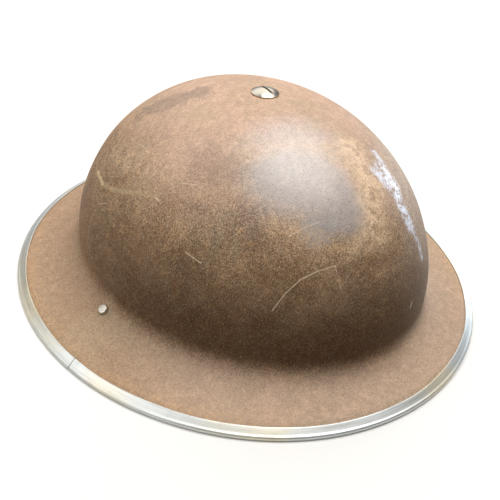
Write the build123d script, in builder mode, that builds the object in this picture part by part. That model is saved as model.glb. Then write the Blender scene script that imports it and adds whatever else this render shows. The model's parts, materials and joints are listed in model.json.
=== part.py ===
from build123d import *
from math import asin, cos, hypot, radians, sin, sqrt, tan
import os

os.makedirs("parts", exist_ok=True)

# Steel bowl helmet, standing on its rim. Origin on the table under the middle of the rim,
# the front towards -Y, the wearer's left ear towards -X. Millimetres and degrees.

# Shell: one pressing, a deep oval bowl that flares into a shallow brim
shell_length = 308.0
shell_width = 292.8
shell_height = 123.5
shell_wall = 1.0
brim_front_reach = 30.3
brim_side_reach = 40.7
waist_rise = 20.0
edge_width = 6.6
edge_fall = 3.6
crown_power_share = 2.15
wall_power_share = 1.81
flare_power_share = 2.7
flare_steps = 8
dome_steps = 11
crown_ring_angle = 89.2
cut_overrun = 2.0

# Rim band: bright strip folded over the brim's edge, its ends butted at the front left
band_width = 5.5
band_wall = 1.0
band_round = 1.4
band_fold_steps = 6
band_edge_clearance = 0.05
band_gap = 0.4
seam_bearing = -172.0
seam_skew = 10.0

# Crown screw and what it clamps
screw_head_diameter = 16.5
screw_head_height = 3.0
screw_head_edge = 0.6
screw_slot_width = 1.6
screw_slot_depth = 1.4
screw_slot_bearing = 90.0
screw_diameter = 5.0
screw_end_length = 1.0
screw_clearance = 0.2
washer_diameter = 18.0
washer_wall = 1.0
washer_clearance = 0.05
nut_width = 12.0
nut_height = 4.0

# Liner: oval headband, crossing straps and crown cushion
liner_standoff = 26.7
headband_height_share = 0.296
headband_wall = 1.5
headband_rise = 4.0
strap_width = 20.0
strap_wall = 1.2
strap_end_drop = 20.0
strap_clearance = 0.05
strap_crossing_gap = 0.4
pad_reach_share = 0.61
pad_arm_width = 36.0
pad_thickness = 9.0
pad_clearance = 0.3
pad_hole_diameter = 22.0

# Sweatband: leathercloth inside the headband, turned out under its lower edge
sweatband_wall = 1.2
sweatband_gap = 1.3
sweatband_top_drop = 1.5
sweatband_lip_gap = 0.3
sweatband_lip_height = 5.0
sweatband_fold_round = 0.5

# Rubber buffers between the liner and the shell
buffer_width = 24.0
buffer_height = 16.0
buffer_corner = 5.0
buffer_bore_diameter = 9.0
buffer_base = 3.0
buffer_clearance = 0.3
buffer_bearings = [-135.0, -90.0, -45.0, 0.0, 45.0, 90.0, 135.0, 180.0]

# Liner rivets
liner_rivet_diameter = 3.0
liner_rivet_head_diameter = 6.0
liner_rivet_head_height = 0.5
liner_rivet_clearance = 0.05
liner_rivet_head_gap = 0.1
strap_rivet_drop = 3.5
strap_rivet_spacing = 10.0

# Lugs: steel clips riveted in the bowl's foot at each ear
ear_angle = 36.0
lug_width = 14.0
lug_wall = 1.0
lug_seat_clearance = 0.25
lug_tail = 6.0
lug_reach = 9.0
lug_rivet_diameter = 4.0
lug_rivet_head_diameter = 6.0
lug_rivet_head_height = 1.8
lug_rivet_head_round = 0.8
lug_rivet_dish_diameter = 3.2
lug_rivet_dish_depth = 0.3
lug_rivet_seat = 0.3
lug_rivet_tail_height = 1.0
lug_rivet_clearance = 0.1

# Wire loops that swing in the lugs
wire_diameter = 3.0
wire_clearance = 0.1
loop_width = 26.0
loop_bar_level = 4.2
loop_bend = 3.2
loop_lean = 40.0

# Chinstrap: two webbing halves, unbuckled, lying inside the rim
webbing_width = 20.0
webbing_wall = 1.8
webbing_level = 1.4
webbing_layer_gap = 0.05
fold_lead_angle = 20.0
loop_sewn_share = 0.32
buckle_sewn_share = 0.305
knee_radius = 2.5
left_fold_place = 19.4
left_hairpin_radius = 4.0
left_tip_gap = 6.0
left_return_angle = 6.5
buckle_place = 22.4

# Buckle, strap tip and keeper
buckle_length = 20.0
buckle_width = 30.0
buckle_wall = 1.8
buckle_bar = 2.6
buckle_window_width = 22.0
buckle_corner = 4.0
buckle_bar_clearance = 0.17
tip_length = 12.0
tip_wall = 0.6
tip_clearance = 0.05
keeper_length = 6.0
keeper_wall = 1.0
keeper_clearance = 0.2

# Heights and half sizes that follow from the sizes above
edge_top = band_wall + shell_wall
waist_level = edge_top + waist_rise
dome_height = shell_height - waist_level
bowl_length = shell_length - 2 * brim_front_reach
bowl_width = shell_width - 2 * brim_side_reach
headband_length = bowl_length - 2 * liner_standoff
headband_width = bowl_width - 2 * liner_standoff
headband_level = waist_level + headband_rise
headband_height = dome_height * headband_height_share
buffer_level = headband_level + headband_height / 2
strap_rivet_level = headband_level + headband_height - strap_rivet_drop


def superellipse(angle, half_run, half_rise, run_power, rise_power, outset):
    """Point of a quarter superellipse about its centre, moved out along its normal by outset."""
    run = half_run * cos(angle) ** (2 / run_power)
    rise = half_rise * sin(angle) ** (2 / rise_power)
    normal = Vector(
        half_rise * run_power * cos(angle) ** (2 - 2 / run_power),
        half_run * rise_power * sin(angle) ** (2 - 2 / rise_power),
    ).normalized()
    return run + outset * normal.X, rise + outset * normal.Y


def flare_point(angle, half_bowl, half_edge, inset):
    """Radius and height on the concave flare, from the bowl's waist at 0 to the brim's bend at 90."""
    bend = half_edge - edge_width
    run, rise = superellipse(
        angle, bend - half_bowl, waist_rise - edge_fall, flare_power_share, flare_power_share, inset
    )
    return bend - run, waist_level - rise


def dome_point(angle, half_bowl, inset):
    """Radius and height on the dome, from the bowl's waist at 0 to the crown at 90."""
    run, rise = superellipse(angle, half_bowl, dome_height, crown_power_share, wall_power_share, -inset)
    return run, waist_level + rise


def ring_wire(half_width, half_length, level):
    """Level elliptical wire about the Z axis."""
    with BuildSketch(Plane.XY.offset(level)) as ring:
        Ellipse(half_width, half_length)
    return ring.sketch.face().outer_wire()


def shell_wires(inset):
    """Level rings of the shell from the brim's bend to the crown, moved inside it by inset."""
    rings = []
    for step in range(flare_steps):
        angle = radians(90) * (1 - step / flare_steps)
        side, side_level = flare_point(angle, bowl_width / 2, shell_width / 2, inset)
        front, front_level = flare_point(angle, bowl_length / 2, shell_length / 2, inset)
        rings.append(ring_wire(side, front, (side_level + front_level) / 2))
    for step in range(dome_steps + 1):
        angle = radians(crown_ring_angle) * step / dome_steps
        side, side_level = dome_point(angle, bowl_width / 2, inset)
        front, front_level = dome_point(angle, bowl_length / 2, inset)
        rings.append(ring_wire(side, front, (side_level + front_level) / 2))
    return rings


def crown_drop(radius):
    """How far the dome lies below its top at a small radius from the crown."""
    across = (radius / (bowl_width / 2)) ** crown_power_share
    return dome_height * (1 - (1 - across) ** (1 / wall_power_share))


def arch_dip(rise, half_span, reach):
    """How far an elliptical arch or curved wall has fallen away at a reach from its middle."""
    return rise * (1 - sqrt(1 - (reach / half_span) ** 2))


def inner_radii(level):
    """Half width and half length of the room inside the dome at a height."""
    angle = asin(((level - waist_level) / dome_height) ** (wall_power_share / 2))
    side, _ = dome_point(angle, bowl_width / 2, shell_wall)
    front, _ = dome_point(angle, bowl_length / 2, shell_wall)
    return side, front


def wall_reach(start, toward, level):
    """Level distance from a point, along a unit direction, to the inside of the dome."""
    side, front = inner_radii(level)
    a = (toward.X / side) ** 2 + (toward.Y / front) ** 2
    b = start.X * toward.X / side**2 + start.Y * toward.Y / front**2
    c = (start.X / side) ** 2 + (start.Y / front) ** 2 - 1
    return (sqrt(b * b - a * c) - b) / a


# Shell: outer and inner faces are lofts through level rings, closed by the turned-down edge
# and the crown's ring
outer_wires = shell_wires(0)
inner_wires = shell_wires(shell_wall)
rim_top = ring_wire(shell_width / 2, shell_length / 2, edge_top)
rim_bottom = ring_wire(shell_width / 2, shell_length / 2, band_wall)
shell_faces = [
    *Shell.make_loft(outer_wires).faces(),
    *Shell.make_loft(inner_wires).faces(),
    *Shell.make_loft([outer_wires[-1], inner_wires[-1]], True).faces(),
    *Shell.make_loft([outer_wires[0], rim_top, rim_bottom, inner_wires[0]], True).faces(),
]

ear_radius, ear_level = flare_point(radians(ear_angle), bowl_width / 2, shell_width / 2, 0)
ear_inner_radius, ear_inner_level = flare_point(
    radians(ear_angle), bowl_width / 2, shell_width / 2, shell_wall
)
ear_out = Vector(ear_inner_radius - ear_radius, 0, ear_level - ear_inner_level).normalized()
ear_plane = Plane(origin=(-ear_radius, 0, ear_level), x_dir=(0, 1, 0), z_dir=ear_out)
far_ear_plane = Plane(
    origin=(ear_radius, 0, ear_level), x_dir=(0, 1, 0), z_dir=(-ear_out.X, 0, ear_out.Z)
)

with BuildPart() as shell:
    add(Solid(Shell(shell_faces)))
    with BuildSketch(Plane.XY.offset(shell_height - shell_wall - cut_overrun)):
        Circle(screw_diameter / 2 + screw_clearance)
    extrude(amount=shell_wall + 2 * cut_overrun, mode=Mode.SUBTRACT)
    for rivet_plane in (ear_plane, far_ear_plane):
        with BuildSketch(rivet_plane):
            Circle(lug_rivet_diameter / 2 + lug_rivet_clearance)
        extrude(amount=shell_wall + cut_overrun, both=True, mode=Mode.SUBTRACT)
shell.part.label = "shell"
export_step(shell.part, "parts/shell.step")

# Rim band: a strip folded over the turned-down edge. Its upper side follows the edge's slope,
# its lower side lies flat, and its open side is inwards
band_half_width = shell_width / 2 + band_edge_clearance + band_wall
band_half_length = shell_length / 2 + band_edge_clearance + band_wall
slot_depth = band_edge_clearance + band_wall
slot_top = edge_top + band_edge_clearance
lip_level = slot_top + (band_width - slot_depth) * edge_fall / edge_width
band_height = lip_level + band_wall


def band_wire(depth, level):
    """Level ring at a depth inside the band's outermost edge."""
    return ring_wire(band_half_width - depth, band_half_length - depth, level)


fold_half = (slot_top + band_wall) / 2
fold_wires = []
for step in range(band_fold_steps + 1):
    fold_angle = radians(90 - 180 * step / band_fold_steps)
    fold_wires.append(
        band_wire(band_round * (1 - cos(fold_angle)), fold_half * (1 + sin(fold_angle)))
    )
lip_wires = [
    band_wire(band_width, 0),
    band_wire(band_width, band_wall),
    band_wire(slot_depth, band_wall),
    band_wire(slot_depth, slot_top),
    band_wire(band_width, lip_level),
    band_wire(band_width, band_height),
    fold_wires[0],
]
band_faces = [
    *Shell.make_loft(fold_wires).faces(),
    Face(fold_wires[-1], [lip_wires[0]]),
    *Shell.make_loft(lip_wires[:2], True).faces(),
    Face(lip_wires[2], [lip_wires[1]]),
    *Shell.make_loft(lip_wires[2:], True).faces(),
]
seam_out = Vector(
    band_half_width * cos(radians(seam_bearing)), band_half_length * sin(radians(seam_bearing))
)
seam_plane = Plane(origin=seam_out).rotated((0, 0, seam_bearing + seam_skew))
with BuildPart() as rim_band:
    add(Solid(Shell(band_faces)))
    with BuildSketch(seam_plane.offset(-cut_overrun)):
        Rectangle(4 * band_width, band_gap)
    extrude(amount=band_height + 2 * cut_overrun, mode=Mode.SUBTRACT)
rim_band.part.label = "rim_band"
export_step(rim_band.part, "parts/rim_band.step")

# Levels of the stack under the crown, from the top down
washer_top = shell_height - shell_wall - crown_drop(washer_diameter / 2) - washer_clearance
long_strap_top = washer_top - washer_wall
cross_strap_top = long_strap_top - strap_wall - strap_crossing_gap
cross_rise = cross_strap_top - strap_wall - headband_level - headband_height
cross_dip = arch_dip(cross_rise, headband_width / 2 + headband_wall, washer_diameter / 2)
nut_washer_top = cross_strap_top - strap_wall - cross_dip - washer_clearance
nut_top = nut_washer_top - washer_wall
nut_bottom = nut_top - nut_height
screw_end = nut_bottom - screw_end_length

# Crown screw: low domed head with one slot
with BuildPart() as crown_screw:
    with BuildSketch(Plane.XZ):
        with BuildLine():
            edge = Line(
                (screw_head_diameter / 2, shell_height),
                (screw_head_diameter / 2, shell_height + screw_head_edge),
            )
            ThreePointArc(
                edge @ 1,
                (0, shell_height + screw_head_height),
                (-screw_head_diameter / 2, shell_height + screw_head_edge),
            )
            Line(
                (-screw_head_diameter / 2, shell_height + screw_head_edge),
                (-screw_head_diameter / 2, shell_height),
            )
            Line((-screw_head_diameter / 2, shell_height), edge @ 0)
        make_face()
        split(bisect_by=Plane.YZ)
    revolve(axis=Axis.Z)
    with BuildSketch(Plane.XY.offset(screw_end)):
        Circle(screw_diameter / 2)
    extrude(amount=shell_height - screw_end)
    with BuildSketch(Plane.XY.offset(shell_height + screw_head_height - screw_slot_depth)):
        Rectangle(2 * screw_head_diameter, screw_slot_width, rotation=screw_slot_bearing)
    extrude(amount=screw_slot_depth + cut_overrun, mode=Mode.SUBTRACT)
crown_screw.part.label = "crown_screw"
export_step(crown_screw.part, "parts/crown_screw.step")

# Washers above and below the straps, and the nut
for name, level in (("crown_washer", washer_top), ("nut_washer", nut_washer_top)):
    with BuildPart() as washer:
        with BuildSketch(Plane.XY.offset(level)):
            Circle(washer_diameter / 2)
            Circle(screw_diameter / 2 + screw_clearance, mode=Mode.SUBTRACT)
        extrude(amount=-washer_wall)
    washer.part.label = name
    export_step(washer.part, f"parts/{name}.step")

with BuildPart() as crown_nut:
    with BuildSketch(Plane.XY.offset(nut_top)):
        RegularPolygon(nut_width / 2, 6, major_radius=False)
        Circle(screw_diameter / 2, mode=Mode.SUBTRACT)
    extrude(amount=-nut_height)
crown_nut.part.label = "crown_nut"
export_step(crown_nut.part, "parts/crown_nut.step")

# Planes on the headband: one at each buffer's rivet, two at each strap end
band_half_x = headband_width / 2 + headband_wall
band_half_y = headband_length / 2 + headband_wall
arch_half_x = band_half_x + strap_clearance
arch_half_y = band_half_y + strap_clearance
arch_level = headband_level + headband_height


def headband_plane(bearing, level, slide):
    """Upright plane on the headband's outside, facing out, slid sideways along the tangent."""
    out = Vector(band_half_y * cos(radians(bearing)), band_half_x * sin(radians(bearing))).normalized()
    along = Vector(-out.Y, out.X)
    spot = Vector(band_half_x * cos(radians(bearing)), band_half_y * sin(radians(bearing)), level)
    return Plane(origin=spot + along * slide, x_dir=along, z_dir=out)


def holds_strap(bearing):
    """Whether a buffer sits on a strap end, at the front, the rear or an ear."""
    return bearing % 90 == 0


buffer_planes = [headband_plane(bearing, buffer_level, 0) for bearing in buffer_bearings]
strap_rivet_planes = [
    headband_plane(bearing, strap_rivet_level, slide)
    for bearing in buffer_bearings
    if holds_strap(bearing)
    for slide in (-strap_rivet_spacing / 2, strap_rivet_spacing / 2)
]
strap_stack = strap_clearance + strap_wall
strap_head_drop = arch_dip(
    headband_length / 2, headband_width / 2, (strap_rivet_spacing + liner_rivet_head_diameter) / 2
)
rivet_hole = liner_rivet_diameter / 2 + liner_rivet_clearance

# Headband
with BuildPart() as headband:
    with BuildSketch(Plane.XY.offset(headband_level)):
        Ellipse(band_half_x, band_half_y)
        Ellipse(headband_width / 2, headband_length / 2, mode=Mode.SUBTRACT)
    extrude(amount=headband_height)
    for rivet_plane in buffer_planes + strap_rivet_planes:
        with BuildSketch(rivet_plane):
            Circle(rivet_hole)
        extrude(amount=headband_wall + cut_overrun, both=True, mode=Mode.SUBTRACT)
headband.part.label = "headband"
export_step(headband.part, "parts/headband.step")

# Liner straps: each an arch over the head, with upright ends outside the headband
strap_bottom = arch_level - strap_end_drop
for name, plane, half_span, top in (
    ("liner_strap_long", Plane.YZ, arch_half_y, long_strap_top),
    ("liner_strap_cross", Plane.XZ, arch_half_x, cross_strap_top),
):
    with BuildPart() as strap:
        with BuildSketch(plane):
            with BuildLine():
                EllipticalCenterArc(
                    (0, arch_level), half_span + strap_wall, top - arch_level, arc_size=180
                )
                EllipticalCenterArc(
                    (0, arch_level), half_span, top - strap_wall - arch_level, arc_size=180
                )
                for end in (half_span, -half_span):
                    foot = end * (1 + strap_wall / half_span)
                    inner_side = [(end, arch_level), (end, strap_bottom)]
                    Polyline(*inner_side, (foot, strap_bottom), (foot, arch_level))
            make_face()
        extrude(amount=strap_width / 2, both=True)
        with BuildSketch(Plane.XY.offset(nut_bottom)):
            Circle(screw_diameter / 2 + screw_clearance)
        extrude(amount=shell_height - nut_bottom, mode=Mode.SUBTRACT)
        for rivet_plane in buffer_planes + strap_rivet_planes:
            with BuildSketch(rivet_plane):
                Circle(rivet_hole)
            extrude(amount=strap_stack + cut_overrun, both=True, mode=Mode.SUBTRACT)
    strap.part.label = name
    export_step(strap.part, f"parts/{name}.step")

# Crown pad: cross-shaped cushion under the straps, open in the middle for the nut.
# Each arm follows the strap above it, and the long arm also drops at its sides like the cross strap.
pad_top = cross_strap_top - strap_wall - pad_clearance
pad_rise = pad_top - arch_level
with BuildPart() as long_arm:
    with BuildSketch(Plane.YZ):
        with Locations((0, arch_level)):
            Ellipse(arch_half_y - pad_clearance, pad_rise)
            Ellipse(
                arch_half_y - pad_clearance - pad_thickness, pad_rise - pad_thickness, mode=Mode.SUBTRACT
            )
        with Locations((0, pad_top)):
            Rectangle(headband_length * pad_reach_share, 2 * pad_rise, mode=Mode.INTERSECT)
    extrude(amount=pad_arm_width / 2, both=True)
    with BuildSketch(Plane.XY.offset(arch_level)):
        Circle(pad_hole_diameter / 2)
    extrude(amount=shell_height - arch_level, mode=Mode.SUBTRACT)
    with BuildSketch(Plane.XZ):
        with Locations((0, arch_level)):
            Ellipse(arch_half_x - pad_clearance, pad_rise)
    extrude(amount=headband_length, both=True, mode=Mode.INTERSECT)

with BuildPart() as crown_pad:
    with BuildSketch(Plane.XZ):
        with Locations((0, arch_level)):
            Ellipse(arch_half_x - pad_clearance, pad_rise)
            Ellipse(
                arch_half_x - pad_clearance - pad_thickness, pad_rise - pad_thickness, mode=Mode.SUBTRACT
            )
        with Locations((0, pad_top)):
            Rectangle(headband_width * pad_reach_share, 2 * pad_rise, mode=Mode.INTERSECT)
    extrude(amount=pad_arm_width / 2, both=True)
    with BuildSketch(Plane.XY.offset(arch_level)):
        Circle(pad_hole_diameter / 2)
    extrude(amount=shell_height - arch_level, mode=Mode.SUBTRACT)
    add(long_arm.part)
crown_pad.part.label = "crown_pad"
export_step(crown_pad.part, "parts/crown_pad.step")

# Sweatband: lining inside the headband, turned out and up under its lower edge
fold_bottom = headband_level - sweatband_lip_gap - sweatband_wall
lining_x = headband_width / 2 - sweatband_gap
lining_y = headband_length / 2 - sweatband_gap
lip_x = band_half_x + sweatband_lip_gap
lip_y = band_half_y + sweatband_lip_gap
with BuildPart() as sweatband:
    with BuildSketch(Plane.XY.offset(fold_bottom)):
        Ellipse(lip_x + sweatband_wall, lip_y + sweatband_wall)
        Ellipse(lining_x - sweatband_wall, lining_y - sweatband_wall, mode=Mode.SUBTRACT)
    extrude(amount=sweatband_wall)
    with BuildSketch(Plane.XY.offset(fold_bottom + sweatband_wall)):
        Ellipse(lining_x, lining_y)
        Ellipse(lining_x - sweatband_wall, lining_y - sweatband_wall, mode=Mode.SUBTRACT)
    extrude(amount=arch_level - sweatband_top_drop - fold_bottom - sweatband_wall)
    with BuildSketch(Plane.XY.offset(fold_bottom + sweatband_wall)):
        Ellipse(lip_x + sweatband_wall, lip_y + sweatband_wall)
        Ellipse(lip_x, lip_y, mode=Mode.SUBTRACT)
    extrude(amount=sweatband_lip_gap + sweatband_lip_height)
    fillet(sweatband.edges().group_by(Axis.Z)[0], radius=sweatband_fold_round)
sweatband.part.label = "sweatband"
export_step(sweatband.part, "parts/sweatband.step")

# Rubber buffers: blocks with an open bore, their outer ends sloped like the shell
buffer_names = ["left_front", "front", "right_front", "right", "right_rear", "rear", "left_rear", "left"]
for name, bearing, plane in zip(buffer_names, buffer_bearings, buffer_planes):
    stand = strap_stack + strap_clearance if holds_strap(bearing) else strap_clearance
    base_plane = plane.offset(stand)
    reaches = []
    for level in (buffer_level - buffer_height / 2, buffer_level + buffer_height / 2):
        corners = [base_plane.origin + plane.x_dir * (side * buffer_width / 2) for side in (-1, 1)]
        reach = min(wall_reach(corner, plane.z_dir, level) for corner in corners)
        reaches.append(reach - buffer_clearance)
    low_end = base_plane.origin + plane.z_dir * reaches[0] - plane.y_dir * (buffer_height / 2)
    high_end = base_plane.origin + plane.z_dir * reaches[1] + plane.y_dir * (buffer_height / 2)
    end_plane = Plane(origin=low_end, x_dir=plane.x_dir, z_dir=plane.x_dir.cross(high_end - low_end))
    with BuildPart() as buffer:
        with BuildSketch(base_plane):
            RectangleRounded(buffer_width, buffer_height, buffer_corner)
        extrude(amount=max(reaches) + cut_overrun)
        split(bisect_by=end_plane, keep=Keep.BOTTOM)
        with BuildSketch(base_plane.offset(buffer_base)):
            Circle(buffer_bore_diameter / 2)
        extrude(amount=max(reaches) + cut_overrun, mode=Mode.SUBTRACT)
        with BuildSketch(base_plane):
            Circle(rivet_hole)
        extrude(amount=buffer_base, mode=Mode.SUBTRACT)
    buffer.part.label = f"buffer_{name}"
    export_step(buffer.part, f"parts/buffer_{name}.step")

# Rivets of the liner: a flat head inside the headband and one outside what it holds
with BuildPart() as buffer_rivets:
    for bearing, plane in zip(buffer_bearings, buffer_planes):
        stand = strap_stack + strap_clearance if holds_strap(bearing) else strap_clearance
        inside = plane.offset(-headband_wall - liner_rivet_head_gap)
        shank = headband_wall + 2 * liner_rivet_head_gap + stand + buffer_base
        with BuildSketch(inside):
            Circle(liner_rivet_head_diameter / 2)
        extrude(amount=-liner_rivet_head_height)
        with BuildSketch(inside):
            Circle(liner_rivet_diameter / 2)
        extrude(amount=shank)
        with BuildSketch(inside.offset(shank)):
            Circle(liner_rivet_head_diameter / 2)
        extrude(amount=liner_rivet_head_height)
buffer_rivets.part.label = "buffer_rivets"
export_step(buffer_rivets.part, "parts/buffer_rivets.step")

with BuildPart() as strap_rivets:
    for plane in strap_rivet_planes:
        inside = plane.offset(-headband_wall - strap_head_drop - liner_rivet_head_gap)
        shank = headband_wall + strap_head_drop + 2 * liner_rivet_head_gap + strap_stack
        with BuildSketch(inside):
            Circle(liner_rivet_head_diameter / 2)
        extrude(amount=-liner_rivet_head_height)
        with BuildSketch(inside):
            Circle(liner_rivet_diameter / 2)
        extrude(amount=shank)
        with BuildSketch(inside.offset(shank)):
            Circle(liner_rivet_head_diameter / 2)
        extrude(amount=liner_rivet_head_height)
strap_rivets.part.label = "strap_rivets"
export_step(strap_rivets.part, "parts/strap_rivets.step")

# Left lug: a strip folded round the wire, its two leaves riveted inside the bowl's foot
ear_in = Vector(-ear_out.X, 0, -ear_out.Z)
ear_rise = Vector(-ear_in.Z, 0, ear_in.X)
lug_seat = ear_plane.origin + ear_in * shell_wall
lug_plane = Plane(origin=lug_seat, x_dir=ear_rise, z_dir=(0, 1, 0))
curl_inner = wire_diameter / 2 + wire_clearance
curl_depth = lug_seat_clearance + lug_wall
curl_centre = lug_seat + ear_rise * lug_reach + ear_in * curl_depth
lug_stack = shell_wall + lug_seat_clearance + 2 * lug_wall
with BuildPart() as left_lug:
    with BuildSketch(lug_plane):
        with Locations(((lug_reach - lug_tail) / 2, curl_depth)):
            Rectangle(lug_reach + lug_tail, 2 * lug_wall)
        with Locations((lug_reach, curl_depth)):
            Circle(curl_inner + lug_wall)
            Circle(curl_inner, mode=Mode.SUBTRACT)
    extrude(amount=lug_width / 2, both=True)
    with BuildSketch(ear_plane):
        Circle(lug_rivet_diameter / 2 + lug_rivet_clearance)
    extrude(amount=-lug_stack - cut_overrun, mode=Mode.SUBTRACT)
left_lug.part.label = "left_lug"

# Left lug rivet: small head with a dished top outside, a flat tail on the lug
with BuildPart() as left_lug_rivet:
    with BuildSketch(ear_plane.offset(lug_rivet_seat)):
        Circle(lug_rivet_head_diameter / 2)
    extrude(amount=lug_rivet_head_height)
    rivet_top = ear_plane.offset(lug_rivet_seat + lug_rivet_head_height)
    outward = Axis(ear_plane.origin, ear_plane.z_dir)
    fillet(left_lug_rivet.edges().sort_by(outward)[-1], radius=lug_rivet_head_round)
    with BuildSketch(rivet_top):
        Circle(lug_rivet_dish_diameter / 2)
    extrude(amount=-lug_rivet_dish_depth, mode=Mode.SUBTRACT)
    with BuildSketch(ear_plane.offset(lug_rivet_seat)):
        Circle(lug_rivet_diameter / 2)
    extrude(amount=-lug_rivet_seat - lug_stack)
    with BuildSketch(ear_plane.offset(-lug_stack)):
        Circle(lug_rivet_head_diameter / 2)
    extrude(amount=-lug_rivet_tail_height)
left_lug_rivet.part.label = "left_lug_rivet"

# Left loop: closed rectangle of wire, its upper bar in the lug's curl, leaning inwards
loop_down = Vector(sin(radians(loop_lean)), 0, -cos(radians(loop_lean)))
loop_plane = Plane(origin=curl_centre, x_dir=(0, 1, 0), z_dir=Vector(0, 1, 0).cross(loop_down))
loop_drop = (curl_centre.Z - loop_bar_level) / cos(radians(loop_lean))
bar_centre = curl_centre + loop_down * loop_drop
with BuildPart() as left_loop:
    with BuildLine(loop_plane) as bend:
        FilletPolyline(
            (-loop_width / 2, 0),
            (loop_width / 2, 0),
            (loop_width / 2, loop_drop),
            (-loop_width / 2, loop_drop),
            radius=loop_bend,
            close=True,
        )
    with BuildSketch(Plane(origin=bend.line @ 0, z_dir=bend.line % 0)):
        Circle(wire_diameter / 2)
    sweep()
left_loop.part.label = "left_loop"

# Route of the webbing in the upright plane through the ears, by its middle line.
# Each fold leaves its bar at the lead angle, above and below.
lead = radians(fold_lead_angle)
low_layer = webbing_level + webbing_wall / 2
high_layer = low_layer + webbing_wall + webbing_layer_gap
wire_fold = wire_diameter / 2 + wire_clearance + webbing_wall / 2
bar_run, bar_level = bar_centre.X, bar_centre.Z
fold_reach = wire_fold * sin(lead)
fold_high = bar_level + wire_fold * cos(lead)
fold_low = bar_level - wire_fold * cos(lead)
high_knee = bar_run + fold_reach + (fold_high - high_layer) / tan(lead)
low_knee = bar_run + fold_reach + (low_layer - fold_low) / tan(lead)

# Left chinstrap half: sewn round the loop, its free end turned back over itself
hairpin_run = -left_fold_place
fold_sewn_length = (hairpin_run - bar_run) * loop_sewn_share
left_return = hairpin_run - bar_run - fold_sewn_length - left_tip_gap
hairpin_level = low_layer + left_hairpin_radius
turn = radians(left_return_angle)
return_start = (
    hairpin_run - left_hairpin_radius * sin(turn),
    hairpin_level + left_hairpin_radius * cos(turn),
)
return_end = (return_start[0] - left_return * cos(turn), return_start[1] - left_return * sin(turn))
with BuildPart() as left_chinstrap:
    with BuildSketch(Plane.XZ):
        with BuildLine():
            FilletPolyline(
                (bar_run + fold_sewn_length, high_layer),
                (high_knee, high_layer),
                (bar_run + fold_reach, fold_high),
                radius=knee_radius,
            )
            CenterArc(
                (bar_run, bar_level), wire_fold, 90 - fold_lead_angle, 180 + 2 * fold_lead_angle
            )
            FilletPolyline(
                (bar_run + fold_reach, fold_low),
                (low_knee, low_layer),
                (hairpin_run, low_layer),
                radius=knee_radius,
            )
            CenterArc(
                (hairpin_run, hairpin_level), left_hairpin_radius, -90, 180 + left_return_angle
            )
            Line(return_start, return_end)
        trace(line_width=webbing_wall)
    extrude(amount=webbing_width / 2, both=True)
left_chinstrap.part.label = "left_chinstrap"
export_step(left_chinstrap.part, "parts/left_chinstrap.step")

# Strap tip: thin plate folded over the left half's free end
tip_plane = Plane(
    origin=(return_end[0], 0, return_end[1]), x_dir=(cos(turn), 0, sin(turn)), z_dir=(0, -1, 0)
)
with BuildPart() as strap_tip:
    with BuildSketch(tip_plane):
        with Locations((-tip_clearance - tip_wall, 0)):
            Rectangle(
                tip_length + tip_clearance + tip_wall,
                webbing_wall + 2 * tip_clearance + 2 * tip_wall,
                align=(Align.MIN, Align.CENTER),
            )
        with Locations((-tip_clearance, 0)):
            Rectangle(
                tip_length + cut_overrun,
                webbing_wall + 2 * tip_clearance,
                align=(Align.MIN, Align.CENTER),
                mode=Mode.SUBTRACT,
            )
    extrude(amount=webbing_width / 2, both=True)
strap_tip.part.label = "strap_tip"
export_step(strap_tip.part, "parts/strap_tip.step")

# Right chinstrap half, drawn on the left side first: sewn round the loop and the buckle's bar
buckle_fold = hypot(buckle_bar, buckle_wall) / 2 + buckle_bar_clearance + webbing_wall / 2
buckle_run = -buckle_place
buckle_sewn_length = (buckle_run - bar_run) * buckle_sewn_share
buckle_level = buckle_fold + webbing_wall / 2 + webbing_layer_gap
buckle_reach = buckle_fold * sin(lead)
buckle_high = buckle_level + buckle_fold * cos(lead)
buckle_low = buckle_level - buckle_fold * cos(lead)
buckle_high_knee = buckle_run - buckle_reach - (buckle_high - high_layer) / tan(lead)
buckle_low_knee = buckle_run - buckle_reach - (low_layer - buckle_low) / tan(lead)
with BuildPart(mode=Mode.PRIVATE) as near_right_chinstrap:
    with BuildSketch(Plane.XZ):
        with BuildLine():
            FilletPolyline(
                (bar_run + fold_sewn_length, high_layer),
                (high_knee, high_layer),
                (bar_run + fold_reach, fold_high),
                radius=knee_radius,
            )
            CenterArc(
                (bar_run, bar_level), wire_fold, 90 - fold_lead_angle, 180 + 2 * fold_lead_angle
            )
            FilletPolyline(
                (bar_run + fold_reach, fold_low),
                (low_knee, low_layer),
                (buckle_low_knee, low_layer),
                (buckle_run - buckle_reach, buckle_low),
                radius=knee_radius,
            )
            CenterArc(
                (buckle_run, buckle_level),
                buckle_fold,
                -90 - fold_lead_angle,
                180 + 2 * fold_lead_angle,
            )
            FilletPolyline(
                (buckle_run - buckle_reach, buckle_high),
                (buckle_high_knee, high_layer),
                (buckle_run - buckle_sewn_length, high_layer),
                radius=knee_radius,
            )
        trace(line_width=webbing_wall)
    extrude(amount=webbing_width / 2, both=True)

# Buckle: a flat frame with a middle bar, its free end resting low
buckle_span = buckle_length - buckle_bar
buckle_lean = asin((buckle_level - buckle_wall) / buckle_span)
buckle_window = (buckle_length - 3 * buckle_bar) / 2
buckle_plane = Plane(
    origin=(buckle_run, 0, buckle_level),
    x_dir=(cos(buckle_lean), 0, -sin(buckle_lean)),
    z_dir=(sin(buckle_lean), 0, cos(buckle_lean)),
)
with BuildPart(mode=Mode.PRIVATE) as near_buckle:
    with BuildSketch(buckle_plane):
        with Locations((buckle_span / 2, 0)):
            RectangleRounded(buckle_length, buckle_width, buckle_corner)
        for place in (1, -1):
            with Locations((buckle_span / 2 + place * (buckle_window + buckle_bar) / 2, 0)):
                Rectangle(buckle_window, buckle_window_width, mode=Mode.SUBTRACT)
    extrude(amount=buckle_wall / 2, both=True)

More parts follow.
